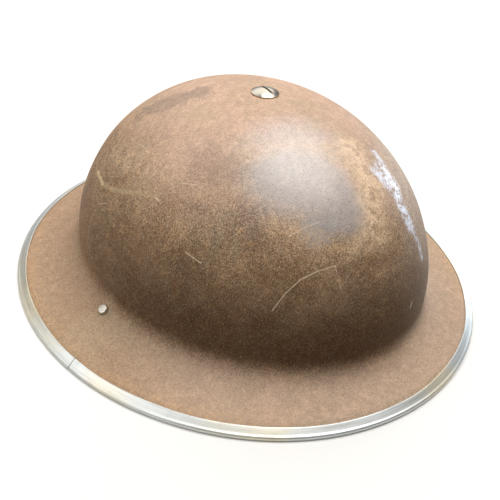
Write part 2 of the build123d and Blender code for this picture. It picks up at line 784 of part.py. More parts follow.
# Keeper: a narrow band round the single layer between the two sewn ends
keeper_run = (bar_run + fold_sewn_length + buckle_run - buckle_sewn_length) / 2
keeper_plane = Plane(origin=(keeper_run, 0, low_layer), x_dir=(0, 1, 0), z_dir=(1, 0, 0))
with BuildPart(mode=Mode.PRIVATE) as near_keeper:
    with BuildSketch(keeper_plane):
        Rectangle(
            webbing_width + 2 * keeper_clearance + 2 * keeper_wall,
            webbing_wall + 2 * keeper_clearance + 2 * keeper_wall,
        )
        Rectangle(
            webbing_width + 2 * keeper_clearance, webbing_wall + 2 * keeper_clearance, mode=Mode.SUBTRACT
        )
    extrude(amount=keeper_length / 2, both=True)

# The right ear's pieces mirror the left ear's
for near, name in (
    (left_lug, "right_lug"),
    (left_lug_rivet, "right_lug_rivet"),
    (left_loop, "right_loop"),
    (near_right_chinstrap, "right_chinstrap"),
    (near_buckle, "strap_buckle"),
    (near_keeper, "strap_keeper"),
):
    with BuildPart() as mirrored:
        mirror(near.part, about=Plane.YZ)
    mirrored.part.label = name
    export_step(mirrored.part, f"parts/{name}.step")
for near, name in ((left_lug, "left_lug"), (left_lug_rivet, "left_lug_rivet"), (left_loop, "left_loop")):
    export_step(near.part, f"parts/{name}.step")
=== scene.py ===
"""Looks of a steel bowl helmet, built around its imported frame.

Metres throughout. Origin on the table under the middle of the rim, +Z up, the front towards -Y
and the wearer's left ear towards -X.
"""

from __future__ import annotations

import json
import logging
import math
from collections.abc import Callable, Sequence
from dataclasses import dataclass
from enum import Enum

import bmesh
import bpy
import numpy as np
from mathutils import Matrix, Vector


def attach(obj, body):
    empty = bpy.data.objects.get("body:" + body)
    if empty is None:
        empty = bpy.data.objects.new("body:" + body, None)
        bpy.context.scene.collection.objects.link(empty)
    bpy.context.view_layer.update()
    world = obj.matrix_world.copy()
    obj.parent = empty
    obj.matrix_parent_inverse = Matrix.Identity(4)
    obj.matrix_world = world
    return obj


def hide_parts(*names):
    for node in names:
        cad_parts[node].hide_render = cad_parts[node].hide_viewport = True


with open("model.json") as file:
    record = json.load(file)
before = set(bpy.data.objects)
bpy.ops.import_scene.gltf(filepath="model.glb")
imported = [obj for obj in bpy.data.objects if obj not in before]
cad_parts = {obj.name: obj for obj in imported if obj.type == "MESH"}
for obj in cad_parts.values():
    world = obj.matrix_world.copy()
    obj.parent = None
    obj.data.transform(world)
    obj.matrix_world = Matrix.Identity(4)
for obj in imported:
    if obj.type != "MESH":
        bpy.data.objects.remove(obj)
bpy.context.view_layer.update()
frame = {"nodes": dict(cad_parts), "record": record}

log = logging.getLogger("helmet")
MM = 0.001
Array = np.ndarray
Pair = tuple[float, float]
Point = tuple[float, float, float]
Colour = tuple[float, float, float]
Material = bpy.types.Material
Mesh = bpy.types.Mesh
Object = bpy.types.Object


# Shader maths


class Op(Enum):
    """Operations of the Math and Vector Math nodes."""

    ADD = "ADD"
    SUBTRACT = "SUBTRACT"
    MULTIPLY = "MULTIPLY"
    POWER = "POWER"
    MINIMUM = "MINIMUM"
    MAXIMUM = "MAXIMUM"
    ABSOLUTE = "ABSOLUTE"
    SINE = "SINE"
    DOT = "DOT_PRODUCT"
    LENGTH = "LENGTH"
    SCALE = "SCALE"


class Socket:
    """An output socket in a finish's tree."""

    def __init__(self, finish: Finish, socket: bpy.types.NodeSocket) -> None:
        """Keeps the socket and its finish.

        Args:
            finish: the finish that owns the tree.
            socket: the output socket.
        """
        self.finish = finish
        self.socket = socket


class Tint(Socket):
    """A colour."""


class Term(Socket):
    """A socket that Python's operators work on, each by one node of the class's kind."""

    kind: str = ""

    def _node(self, operation: Op, *terms: object) -> bpy.types.Node:
        """Adds a node on the terms, in their order."""
        return self.finish.node(self.kind, {"operation": operation.value}, dict(enumerate(terms)))

    def _join(self, operation: Op, *terms: object) -> Term:
        """What a node on the terms gives, as a socket of this class."""
        return type(self)(self.finish, self._node(operation, *terms).outputs[0])

    def __add__(self, other: object) -> Term:
        """Sum."""
        return self._join(Op.ADD, self, other)

    def __radd__(self, other: object) -> Term:
        """Sum, from the right."""
        return self._join(Op.ADD, other, self)

    def __sub__(self, other: object) -> Term:
        """Difference."""
        return self._join(Op.SUBTRACT, self, other)

    def __rsub__(self, other: object) -> Term:
        """Difference, from the right."""
        return self._join(Op.SUBTRACT, other, self)

    def __mul__(self, other: object) -> Term:
        """Product, of vectors component by component."""
        return self._join(Op.MULTIPLY, self, other)

    def __rmul__(self, other: object) -> Term:
        """Product, from the right."""
        return self._join(Op.MULTIPLY, other, self)


class Value(Term):
    """A number."""

    kind: str = "Math"

    def __pow__(self, other: object) -> Value:
        """Power."""
        return self._join(Op.POWER, self, other)

    def __abs__(self) -> Value:
        """Absolute value."""
        return self._join(Op.ABSOLUTE, self)

    def least(self, other: object) -> Value:
        """The smaller of two."""
        return self._join(Op.MINIMUM, self, other)

    def most(self, other: object) -> Value:
        """The larger of two."""
        return self._join(Op.MAXIMUM, self, other)

    def sine(self) -> Value:
        """Sine of an angle in radians."""
        return self._join(Op.SINE, self)

    def times(self, run: Point) -> Place:
        """A fixed vector times this number."""
        node = self.finish.node("VectorMath", {"operation": Op.SCALE.value}, {0: run, "Scale": self})
        return Place(self.finish, node.outputs[0])

    def step(self, low: float, high: float) -> Value:
        """Smooth step from 0 at low to 1 at high; low may be the larger.

        Args:
            low: where the result is 0.
            high: where the result is 1.

        Returns:
            The stepped value.
        """
        flip = low > high
        source = {"From Min": min(low, high), "From Max": max(low, high)}
        target = {"To Min": float(flip), "To Max": float(not flip)}
        sockets = {"Value": self, **source, **target}
        node = self.finish.node("MapRange", {"interpolation_type": "SMOOTHSTEP"}, sockets)
        return Value(self.finish, node.outputs["Result"])


class Place(Term):
    """A vector."""

    kind: str = "VectorMath"

    def dot(self, other: object) -> Value:
        """Dot product."""
        return Value(self.finish, self._node(Op.DOT, self, other).outputs["Value"])

    def length(self) -> Value:
        """Length of the vector."""
        return Value(self.finish, self._node(Op.LENGTH, self).outputs["Value"])

    def parts(self) -> tuple[Value, ...]:
        """The three components."""
        node = self.finish.node("SeparateXYZ", {}, {0: self})
        return tuple(Value(self.finish, out) for out in node.outputs)


class Finish:
    """One material's node tree, with short ways to add nodes to it."""

    def __init__(self, name: str) -> None:
        """Starts an empty material with a Principled shader.

        Args:
            name: the material's name.
        """
        self.material = bpy.data.materials.new(name)
        self.material.use_nodes = True
        self.tree = self.material.node_tree
        self.tree.nodes.clear()
        self.shader = self.node("BsdfPrincipled", {}, {})
        output = self.node("OutputMaterial", {}, {})
        self.tree.links.new(self.shader.outputs[0], output.inputs["Surface"])

    def _fill(self, socket: bpy.types.NodeSocket, given: object) -> None:
        """Links a result to an input socket, or sets the socket's value.

        Args:
            socket: the input socket.
            given: a linkable result, a number, a vector or a colour.
        """
        if isinstance(given, Socket):
            self.tree.links.new(given.socket, socket)
        elif socket.type == "RGBA":
            socket.default_value = (*given, 1.0)
        else:
            socket.default_value = given

    def node(self, kind: str, settings: dict[str, object], inputs: dict) -> bpy.types.Node:
        """Adds a node, sets it, then fills or links its sockets.

        Args:
            kind: the node's type without its ShaderNode prefix.
            settings: the node's own settings, set first.
            inputs: socket names or numbers with values or linkable results.

        Returns:
            The node.
        """
        node = self.tree.nodes.new("ShaderNode" + kind)
        for key, setting in settings.items():
            setattr(node, key, setting)
        for key, given in inputs.items():
            self._fill(node.inputs[key], given)
        return node

    def position(self) -> Place:
        """Object coordinates, in metres."""
        return Place(self, self.node("TexCoord", {}, {}).outputs["Object"])

    def unwrapped(self) -> Place:
        """The piece's own UV map, in metres along and across it."""
        return Place(self, self.node("TexCoord", {}, {}).outputs["UV"])

    def noise(
        self, place: Place, scale: float, detail: float = 3.0, rough: float = 0.55, warp: float = 0.0
    ) -> Value:
        """Fractal noise between 0 and 1.

        Args:
            place: where it is read.
            scale: repeats per metre.
            detail: octaves.
            rough: how strong the fine octaves are.
            warp: how much it is distorted.

        Returns:
            The noise.
        """
        sockets = {"Vector": place, "Scale": scale, "Detail": detail, "Roughness": rough, "Distortion": warp}
        return Value(self, self.node("TexNoise", {}, sockets).outputs["Fac"])

    def cells(self, place: Place, scale: float) -> Value:
        """Distance in cells to the nearest cell point, with so many cells per metre."""
        node = self.node("TexVoronoi", {}, {"Vector": place, "Scale": scale})
        return Value(self, node.outputs["Distance"])

    def cover(self, colour: Tint | Colour, *layers: tuple[Value, Colour]) -> Tint:
        """Mixes layers over a colour, one after another.

        Args:
            colour: the lowest colour.
            layers: how much of each layer, and its colour.

        Returns:
            The mixed colour.
        """
        for share, layer in layers:
            node = self.node("Mix", {"data_type": "RGBA"}, {"Factor": share, 6: colour, 7: layer})
            colour = Tint(self, node.outputs[2])
        return colour

    def darken(self, colour: Tint, amount: Value) -> Tint:
        """Multiplies a colour by a grey value.

        Args:
            colour: the colour.
            amount: what each channel is multiplied by.

        Returns:
            The darker or lighter colour.
        """
        grey = Tint(self, self.node("CombineColor", {}, {0: amount, 1: amount, 2: amount}).outputs[0])
        settings = {"data_type": "RGBA", "blend_type": "MULTIPLY"}
        return Tint(self, self.node("Mix", settings, {"Factor": 1.0, 6: colour, 7: grey}).outputs[2])

    def bump(self, height: Value, strength: float, reach: float) -> Place:
        """Bump from a height between 0 and 1.

        Args:
            height: the height.
            strength: how strongly it tilts the surface.
            reach: the height of 1 in metres.

        Returns:
            The new normal.
        """
        sockets = {"Height": height, "Strength": strength, "Distance": reach}
        return Place(self, self.node("Bump", {}, sockets).outputs["Normal"])

    def coat(self, **sockets: object) -> Material:
        """Fills the shader's sockets.

        Args:
            sockets: their names, with underscores for spaces, and what they get.

        Returns:
            The material.
        """
        for name, given in sockets.items():
            self._fill(self.shader.inputs[name.replace("_", " ")], given)
        return self.material


# Marks on the paint, their points and widths in millimetres


@dataclass(frozen=True)
class Stroke:
    """A mark on the shell: the points that it runs through, its half width and how strong it is."""

    points: tuple[Point, ...]
    width: float
    strength: float


SCRATCHES = (
    Stroke(
        ((-64.4, -89.8, 51.8), (-57.7, -90.8, 60.7), (-49.8, -92.5, 67.4), (-40.7, -95.6, 71.3)), 0.36, 1.0
    ),
    Stroke(((-40.7, -95.6, 71.3), (-31.8, -98.9, 72.9), (-32.1, -106.0, 61.9)), 0.32, 0.9),
    Stroke(((-47.7, -78.0, 84.9), (-39.6, -79.9, 88.6), (-30.5, -82.8, 90.7)), 0.42, 0.5),
    Stroke(((-85.5, -42.1, 68.6), (-82.6, -52.2, 66.5)), 0.36, 0.9),
    Stroke(((-72.3, -17.8, 94.0), (-67.7, -27.4, 96.2)), 0.34, 0.6),
    Stroke(((-68.2, 24.9, 96.3), (-70.3, 14.8, 96.4)), 0.34, 0.5),
    Stroke(((-82.3, -12.5, 83.8), (-82.3, -10.0, 83.8)), 0.7, 0.8),
    Stroke(((-92.6, 31.9, 61.1), (-92.1, 24.7, 65.4)), 0.40, 0.6),
    Stroke(((16.0, -120.4, 37.2), (17.8, -119.4, 39.4)), 0.8, 0.9),
    Stroke(((42.2, -117.4, 8.1), (43.0, -117.4, 8.1)), 0.9, 0.9),
)
SMEARS = (
    Stroke(((-80.8, 53.7, 68.4), (-86.3, 38.6, 69.3)), 1.6, 0.58),
    Stroke(((-86.3, 38.6, 69.3), (-87.8, 23.8, 73.2), (-86.2, 9.5, 78.7)), 2.2, 0.24),
    Stroke(((-86.2, 9.5, 78.7), (-83.6, -2.5, 82.8), (-80.1, -10.7, 86.6)), 2.6, 0.10),
)
WORN_EDGE = (
    Stroke(((-1.3, -56.8, 112.5), (5.0, -71.0, 104.0), (5.3, -86.2, 94.0), (3.0, -98.7, 81.6)), 9.0, 0.75),
    Stroke(((-45.0, -35.0, 111.0), (-20.0, -44.0, 113.5), (-1.3, -56.8, 112.5)), 7.0, 0.45),
    Stroke(
        ((2.0, -99.0, 80.0), (-23.9, -97.2, 79.0), (-34.4, -88.1, 83.9), (-50.0, -72.0, 88.0)), 8.0, 0.65
    ),
    Stroke(((10.0, -98.0, 84.0), (14.0, -104.0, 72.0)), 8.0, 0.5),
)
PATCH = (
    Stroke(((-33.0, -57.0, 106.2), (-23.5, -70.7, 102.0), (-17.0, -84.0, 94.2)), 23.5, 1.0),
    Stroke(((-33.4, -84.0, 88.0), (-19.0, -86.0, 92.0)), 13.5, 1.0),
)
HALO = (
    Stroke(((14.0, -58.0, 110.0), (12.0, -70.0, 103.0), (8.0, -84.0, 95.0), (-2.0, -97.0, 83.0)), 15.0, 1.0),
    Stroke(((-2.0, -97.0, 83.0), (-24.0, -99.0, 77.0)), 9.0, 0.6),
    Stroke(((-72.0, 52.0, 82.0), (-76.0, 25.0, 88.5), (-75.5, 7.5, 92.0), (-72.0, -8.0, 95.0)), 11.0, 0.32),
    Stroke(((-38.0, -92.0, 79.0), (-34.0, -97.0, 72.0)), 9.0, 0.25),
)
# A glossier streak at the right of the dome that carries a painted reflection of a window, broken
# blue-white.
GLOSSY_PAINTED_GLINT = (
    Stroke(((31.9, -61.6, 104.5), (32.8, -70.0, 99.4)), 4.0, 0.8),
    Stroke(((27.5, -74.0, 98.5), (30.0, -81.0, 92.2)), 10.5, 1.0),
    Stroke(((20.5, -73.5, 101.0), (24.0, -80.0, 95.5)), 6.0, 0.8),
    Stroke(((30.5, -82.0, 91.3), (28.5, -89.9, 85.0), (30.3, -97.8, 75.3)), 7.0, 0.95),
    Stroke(((30.3, -97.8, 75.3), (34.3, -103.4, 64.7), (36.2, -107.5, 55.8)), 3.6, 0.6),
)
STAIN = (
    Stroke(((-45.4, 51.0, 103.5), (-37.1, 37.2, 112.3), (-25.2, 28.9, 118.1)), 11.0, 0.8),
    Stroke(((-58.0, -20.0, 103.0), (-52.0, -34.0, 104.0)), 14.0, 0.45),
    Stroke(((-60.0, -62.0, 88.0), (-66.0, -50.0, 88.0)), 12.0, 0.35),
    Stroke(((-75.6, -37.0, 85.0), (-74.0, -49.0, 81.0)), 12.0, 0.35),
)


# Finishes


@dataclass(frozen=True)
class WornPaint:
    """Rough sanded paint, aged brown, with smooth rubbed patches and scratches, and painted highlights,
    painted reflection, painted light and painted shade.
    """

    base: Colour = (0.27, 0.160, 0.088)
    brown: Colour = (0.36, 0.235, 0.140)
    tan: Colour = (0.53, 0.368, 0.285)
    # Paler brim colour, partly its own and partly painted light on the brim's upward face.
    brim: Colour = (0.44, 0.315, 0.228)
    dark: Colour = (0.062, 0.027, 0.0100)
    soot: Colour = (0.150, 0.100, 0.066)
    rust: Colour = (0.50, 0.285, 0.125)
    amber: Colour = (0.62, 0.40, 0.205)
    grey: Colour = (0.335, 0.320, 0.315)
    # Grey of the rubbed patch, made paler and bluer as a painted sheen.
    stain: Colour = (0.22, 0.165, 0.135)
    pale: Colour = (0.62, 0.49, 0.34)
    chalk: Colour = (0.72, 0.57, 0.34)
    olive: Colour = (0.37, 0.29, 0.19)
    rose: Colour = (0.58, 0.375, 0.28)
    shade: Colour = (0.30, 0.195, 0.120)
    # Pale colour of the painted light on the dome's right side.
    painted_side_light: Colour = (0.56, 0.46, 0.385)
    painted_glint_white: Colour = (0.74, 0.83, 1.0)
    # Pale lilac grey of the painted highlight on the crown's glossy zone.
    glossy_painted_sheen: Colour = (0.60, 0.555, 0.545)
    sand: Colour = (0.76, 0.555, 0.375)
    scratch: Colour = (0.82, 0.69, 0.50)
    glossy_painted_sheen_middle: Point = (-22 * MM, -57 * MM, 107 * MM)
    rim_width: float = 146.4 * MM
    rim_length: float = 154.0 * MM
    grain: float = 1450.0

    def build(self) -> Material:
        """Makes the material.

        Returns:
            The material.
        """
        f = Finish("shell_paint")
        p = f.position()
        x, y, z = p.parts()
        broad = f.noise(p, 14.0, 4.0, 0.6)
        blotch = f.noise(p + (3.1, 0.4, 1.7), 46.0, 5.0, 0.62, 0.4)
        hue = f.noise(p + (7.7, 2.1, 0.3), 30.0, 5.0, 0.68, 0.8)
        mottle = f.noise(p + (0.2, 5.3, 0.9), 210.0, 4.0, 0.7)
        fine = f.noise(p + (1.0, 2.0, 3.0), self.grain * 0.42, 3.0, 0.75)
        grit = f.noise(p, self.grain, 2.0, 0.7)

        ragged = (blotch - 0.5) * 16 + (mottle - 0.5) * 12 + (fine - 0.5) * 8
        patch = self._marks(p, PATCH, ragged)
        # Glossier streak at the right; its colour below is a painted reflection, blue-white.
        glossy_painted_glint = self._marks(p, GLOSSY_PAINTED_GLINT, (mottle - 0.5) * 9)
        glossy_painted_glint = glossy_painted_glint * (mottle * 0.55 + fine * 0.45).step(0.40, 0.60)
        worn = self._marks(p, WORN_EDGE, (blotch - 0.5) * 14 + (mottle - 0.5) * 12)
        halo = self._marks(p, HALO, ragged * 1.3) * mottle.step(0.36, 0.60).most(0.30)
        # The crown's broad glossy zone: a stronger coat, and a painted highlight in its colour.
        glossy_painted_sheen = ((p - self.glossy_painted_sheen_middle).length() + (blotch - 0.5) * 0.012).step(46 * MM, 12 * MM)
        crown = (z + (broad - 0.5) * 0.03).step(72 * MM, 116 * MM)
        # Grime and painted shade round the foot of the bowl.
        foot = self._foot_grime_and_shade(x, y, z, blotch)
        low = z.step(22 * MM, 9 * MM)
        # Painted light: where the dome's right side is made paler, below the crown and above the brim.
        side = (x - y * 0.45).step(42 * MM, 92 * MM) * z.step(124 * MM, 96 * MM) * (1 - low)
        coarse = (1 - 0.60 * crown) * (1 - 0.75 * patch) * (1 - 0.60 * low) * (1 - 0.65 * foot)
        speckle = (fine * 0.6 + grit * 0.4).step(0.42, 0.60)
        scratches = self._marks(p, SCRATCHES, (grit - 0.5) * 0.5) * speckle.most(0.55)

        colour = f.cover(
            self.base,
            (blotch.step(0.35, 0.68), self.brown),
            (mottle.step(0.50, 0.72) * 0.45, self.rust),
            (broad.step(0.52, 0.40) * mottle.step(0.62, 0.45) * 0.40, self.soot),
            (crown * (0.50 + 0.6 * (broad - 0.2)), self.tan),
            # the brim paler: partly painted light on its upward face
            (low * 0.85, self.brim),
            (low * (x - y * 0.5).step(-55 * MM, -118 * MM) * 0.72, self.shade),
            (hue.step(0.50, 0.66) * 0.38, self.olive),
            (hue.step(0.48, 0.34) * crown.most(low * 0.4) * 0.45, self.rose),
            (self._edges(x, y, z, (mottle * 0.5 + fine * 0.5).step(0.38, 0.60)), self.rust),
            (glossy_painted_sheen * 0.55, self.glossy_painted_sheen),
            # the rubbed patch's grey, partly real wear and partly painted sheen
            (patch * (0.90 - 0.45 * glossy_painted_sheen) * (1 - 0.4 * grit.step(0.55, 0.40)), self.grey),
            (worn * speckle.most(0.4) * 0.75, self.amber),
            (patch * grit.step(0.42, 0.33) * 0.55, self.dark),
            (self._marks(p, STAIN, ragged) * 0.7, self.stain),
            (side * (1 - 0.6 * patch) * 0.55, self.painted_side_light),
            (halo * 0.72, self.sand),
            # the foot darkened: grime and painted shade
            (foot * 0.82, self.dark),
            (grit.step(0.50, 0.66) * 0.52 * coarse, self.pale),
            (grit.step(0.50, 0.36) * 0.72 * coarse, self.dark),
        )
        colour = f.darken(colour, 1 + (fine - 0.5) * 1.6 * coarse + (mottle - 0.5) * 0.5)
        colour = f.cover(
            colour,
            (self._marks(p, SMEARS, (fine - 0.5) * 4.5), self.chalk),
            (scratches, self.scratch),
            # painted reflection of the window along the glossy streak
            (glossy_painted_glint * 0.80, self.painted_glint_white),
        )
        height = grit * (1 - 0.6 * patch) * 0.7 + fine * (1 - 0.4 * patch) * 0.6 + mottle * 0.25
        return f.coat(
            Base_Color=colour,
            Roughness=0.66 - 0.24 * patch - 0.30 * glossy_painted_glint + (fine - 0.5) * 0.30,
            Normal=f.bump(height, 0.45, 0.4 * MM),
            Specular_IOR_Level=0.12,
            Specular_Tint=(1.0, 0.86, 0.68),
            Coat_Weight=(patch * 0.85).most(glossy_painted_sheen * 0.9).most(glossy_painted_glint * 0.6),
            Coat_Roughness=0.42,
        )

    @staticmethod
    def _foot_grime_and_shade(x: Value, y: Value, z: Value, blotch: Value) -> Value:
        """The dark foot of the bowl, grime and painted shade, strongest at the front.

        Args:
            x: position across.
            y: position along.
            z: height.
            blotch: noise that makes its upper edge uneven.

        Returns:
            How strong it is.
        """
        band = (z + (blotch - 0.5) * 0.022).step(97 * MM, 34 * MM) * z.step(11 * MM, 25 * MM)
        band = band * (1 - 0.45 * x.step(10 * MM, 75 * MM))
        return band * (0.30 + 0.70 * (y + x * 0.25).step(60 * MM, -80 * MM))

    def _edges(self, x: Value, y: Value, z: Value, spotted: Value) -> Value:
        """Rust beside the rim band at both sides, and in a thin ring round the crown screw.

        Args:
            x: position across.
            y: position along.
            z: height.
            spotted: the spots that it comes in.

        Returns:
            How strong it is.
        """
        rim = (x * (1 / self.rim_width)) ** 2.0 + (y * (1 / self.rim_length)) ** 2.0
        side = abs(x).step(60 * MM, 115 * MM)
        ring = ((x * x + y * y) ** 0.5).step(11.5 * MM, 8.0 * MM) * z.step(100 * MM, 118 * MM)
        beside = rim.step(0.80, 0.93) * z.step(12 * MM, 6 * MM) * side
        return (beside * spotted * 0.32).most(ring * spotted * 0.45)

    def _marks(self, p: Place, strokes: Sequence[Stroke], wander: Value) -> Value:
        """All the strokes: each the distance to the segments between its points, stepped at its width.

        Args:
            p: position.
            strokes: the marks.
            wander: what is added to the distance, in millimetres.

        Returns:
            The strongest mark at each place.
        """
        marks: Value | None = None
        for stroke in strokes:
            for start, end in zip(stroke.points, stroke.points[1:]):
                far = self._segment(p, Vector(start) * MM, Vector(end) * MM) * (1 / MM) + wander
                mark = far.step(stroke.width, stroke.width * 0.3) * stroke.strength
                marks = mark if marks is None else marks.most(mark)
        return marks

    @staticmethod
    def _segment(p: Place, start: Vector, end: Vector) -> Value:
        """Distance to a segment: the place along it is clamped to its ends, then the rest's length.

        Args:
            p: position.
            start: the segment's first end.
            end: its other end.

        Returns:
            The distance in metres.
        """
        run = end - start
        share = ((p - tuple(start)).dot(tuple(run)) * (1 / run.length_squared)).most(0.0).least(1.0)
        return (p - tuple(start) - share.times(tuple(run))).length()


@dataclass(frozen=True)
class Steel:
    """Bare steel or brass: drawn lines along a direction or fine scuffs, with dirt."""

    name: str
    colour: Colour
    warm: Colour
    rough: float
    dirt_share: float
    drawn: bool = False
    dirt: Colour = (0.20, 0.16, 0.12)

    def build(self) -> Material:
        """Makes the material.

        Returns:
            The material.
        """
        f = Finish(self.name)
        p = f.position()
        stretch = (40.0, 2600.0, 1.0) if self.drawn else (900.0, 900.0, 900.0)
        lines = f.noise((f.unwrapped() if self.drawn else p) * stretch, 1.0, 3.0, 0.6)
        cloud = f.noise(p, 90.0, 4.0, 0.6)
        grime = f.noise(p, 620.0, 4.0, 0.7)
        soil = (cloud.step(0.48, 0.75) * 0.5 + grime.step(0.58, 0.75) * 0.7) * self.dirt_share
        tint = f.noise(p, 13.0, 2.0, 0.5).step(0.42, 0.62)
        colour = f.cover(self.colour, (tint, self.warm), (soil, self.dirt))
        return f.coat(
            Base_Color=f.darken(colour, 1 + (lines - 0.5) * (0.9 if self.drawn else 0.4)),
            Metallic=1.0,
            Roughness=self.rough + (lines - 0.5) * 0.22 + soil * 0.35,
            Normal=f.bump(lines * 0.6 + grime * 0.4, 0.18, 0.06 * MM),
        )


@dataclass(frozen=True)
class Hide:
    """Hard fibre, leathercloth or rubber: a grained skin over a base colour."""

    name: str
    colour: Colour
    worn: Colour
    grain: float
    rough: float
    depth: float

    def build(self) -> Material:
        """Makes the material.

        Returns:
            The material.
        """
        f = Finish(self.name)
        p = f.position()
        crease = f.cells(p, self.grain)
        cloud = f.noise(p, 60.0, 4.0, 0.6)
        fine = f.noise(p, self.grain * 1.7, 3.0, 0.6)
        wear = cloud.step(0.40, 0.70) * 0.6 + crease.step(0.2, 0.6) * 0.3
        return f.coat(
            Base_Color=f.darken(f.cover(self.colour, (wear, self.worn)), 0.80 + 0.4 * fine),
            Roughness=self.rough + (cloud - 0.5) * 0.25,
            Normal=f.bump(crease * 0.6 + fine * 0.4, self.depth, 0.3 * MM),
        )


@dataclass(frozen=True)
class Weave:
    """Plain-woven webbing: warp and weft threads over and under, from the piece's UV map in metres."""

    name: str
    colour: Colour
    shade: Colour
    pitch: float = 1.0 * MM

    def build(self) -> Material:
        """Makes the material.

        Returns:
            The material.
        """
        f = Finish(self.name)
        u, v, _ = f.unwrapped().parts()
        turn = 2 * math.pi / self.pitch
        along = (u * turn * 0.5).sine()
        across = (v * turn * 0.5).sine()
        over = (along * across).step(-0.35, 0.35)
        thread = abs(across) * over + abs(along) * (1 - over)
        soil = f.noise(f.position(), 85.0, 4.0, 0.65)
        fuzz = f.noise(f.position(), 2600.0, 2.0, 0.7)
        threads = (thread.step(0.1, 0.8), self.colour)
        colour = f.cover(self.shade, threads, (soil.step(0.45, 0.75) * 0.45, self.shade))
        return f.coat(
            Base_Color=f.darken(colour, 0.82 + 0.36 * fuzz),
            Roughness=0.9,
            Normal=f.bump(thread * 0.8 + fuzz * 0.2, 0.6, 0.3 * MM),
            Sheen_Weight=0.15,
        )


@dataclass(frozen=True)
class Felt:
    """Pressed wool felt: matted fibres and small pills."""

    name: str = "felt"
    colour: Colour = (0.17, 0.15, 0.125)
    pill: Colour = (0.28, 0.25, 0.21)

    def build(self) -> Material:
        """Makes the material.

        Returns:
            The material.
        """
        f = Finish(self.name)
        p = f.position()
        hairs = f.noise(p, 1400.0, 4.0, 0.75, 2.0)
        pills = f.noise(p, 260.0, 4.0, 0.65)
        colour = f.cover(self.colour, (pills.step(0.4, 0.7), self.pill))
        return f.coat(
            Base_Color=f.darken(colour, 0.7 + 0.6 * hairs),
            Roughness=0.95,
            Normal=f.bump(hairs * 0.6 + pills * 0.4, 0.5, 0.5 * MM),
            Sheen_Weight=0.25,
        )


# Paths and surfaces


def run_of(points: Array) -> Array:
    """Length of a path up to each of its points."""
    return np.concatenate([[0.0], np.cumsum(np.linalg.norm(np.diff(points, axis=0), axis=1))])


def unit(rows: Array) -> Array:
    """Each row over its length."""
    return rows / np.linalg.norm(rows, axis=1, keepdims=True)


def leftward(tangent: Array) -> Array:
    """Each flat direction turned a quarter turn to the left."""
    return np.stack([-tangent[:, 1], tangent[:, 0]], axis=1)


def spaced(points: Array, step: float) -> Array:
    """The same path sampled at an even distance.

    Args:
        points: the path.
        step: distance between samples.

    Returns:
        The evenly spaced path.
    """
    run = run_of(points)
    keep = np.concatenate([[True], np.diff(run) > 1e-9])
    run, points = run[keep], points[keep]
    at = np.linspace(0.0, run[-1], max(2, int(run[-1] / step)))
    return np.stack([np.interp(at, run, points[:, k]) for k in range(points.shape[1])], axis=1)


def route(corners: Sequence[Pair], radius: float, step: float = 0.5 * MM) -> Array:
    """Path of straight runs joined by arcs, sampled evenly.

    Each inner corner is replaced by an arc, tangent to both runs: it starts and ends at the
    radius times the tangent of half the turn before and after the corner.

    Args:
        corners: the runs' ends, across and up.
        radius: the arcs' radius.
        step: distance between samples.

    Returns:
        Points, two numbers to a row.
    """
    points = np.array(corners, dtype=float)
    out = [points[:1]]
    for last, here, following in zip(points, points[1:], points[2:]):
        before = (here - last) / np.linalg.norm(here - last)
        after = (following - here) / np.linalg.norm(following - here)
        side = before[0] * after[1] - before[1] * after[0]
        turn = math.atan2(side, float(before @ after))
        reach = radius * math.tan(abs(turn) / 2)
        left = np.array([-before[1], before[0]]) * math.copysign(1.0, turn)
        centre = here - before * reach + left * radius
        angles = np.linspace(0.0, turn, max(4, int(abs(turn) * radius / step) + 2))
        spoke = -left * radius
        cos, sin = np.cos(angles), np.sin(angles)
        swung = np.stack([spoke[0] * cos - spoke[1] * sin, spoke[0] * sin + spoke[1] * cos], axis=1)
        out.append(centre + swung)
    out.append(points[-1:])
    return spaced(np.concatenate(out), step)


def arc(centre: Pair, radius: float, start: float, turn: float, step: float = 0.4 * MM) -> Array:
    """Arc by its centre, radius, first angle and turn, in degrees.

    Args:
        centre: its centre.
        radius: its radius.
        start: its first angle.
        turn: how far it goes, positive anticlockwise.
        step: distance between samples.

    Returns:
        Points, two numbers to a row.
    """
    count = max(6, int(abs(math.radians(turn)) * radius / step))
    angles = np.radians(np.linspace(start, start + turn, count))
    return np.array(centre) + radius * np.stack([np.cos(angles), np.sin(angles)], axis=1)


class Ends(Enum):
    """What is at a grid's first and last rows."""

    JOINED = "the rows join each other"
    CAPPED = "a flat face closes each"
    POLES = "they need no face"


def grid_faces(rows: int, columns: int, joined: bool) -> Array:
    """Quads between neighbouring points of a grid whose columns join round.

    Args:
        rows: number of rows.
        columns: number of columns.
        joined: whether the last row joins the first.

    Returns:
        Corner numbers, four to a face.
    """
    i = np.arange(rows if joined else rows - 1)[:, None]
    j = np.arange(columns)[None, :]
    below, beside = (i + 1) % rows, (j + 1) % columns
    corners = [i * columns + j, i * columns + beside, below * columns + beside, below * columns + j]
    return np.stack([np.broadcast_to(c, (i.size, j.size)) for c in corners], axis=-1).reshape(-1, 4)


def linked(name: str, data: bpy.types.ID) -> Object:
    """Makes an object and puts it in the scene.

    Args:
        name: its name.
        data: its mesh, camera or lamp.

    Returns:
        The object, at the origin.
    """
    made = bpy.data.objects.new(name, data)
    bpy.context.collection.objects.link(made)
    return made


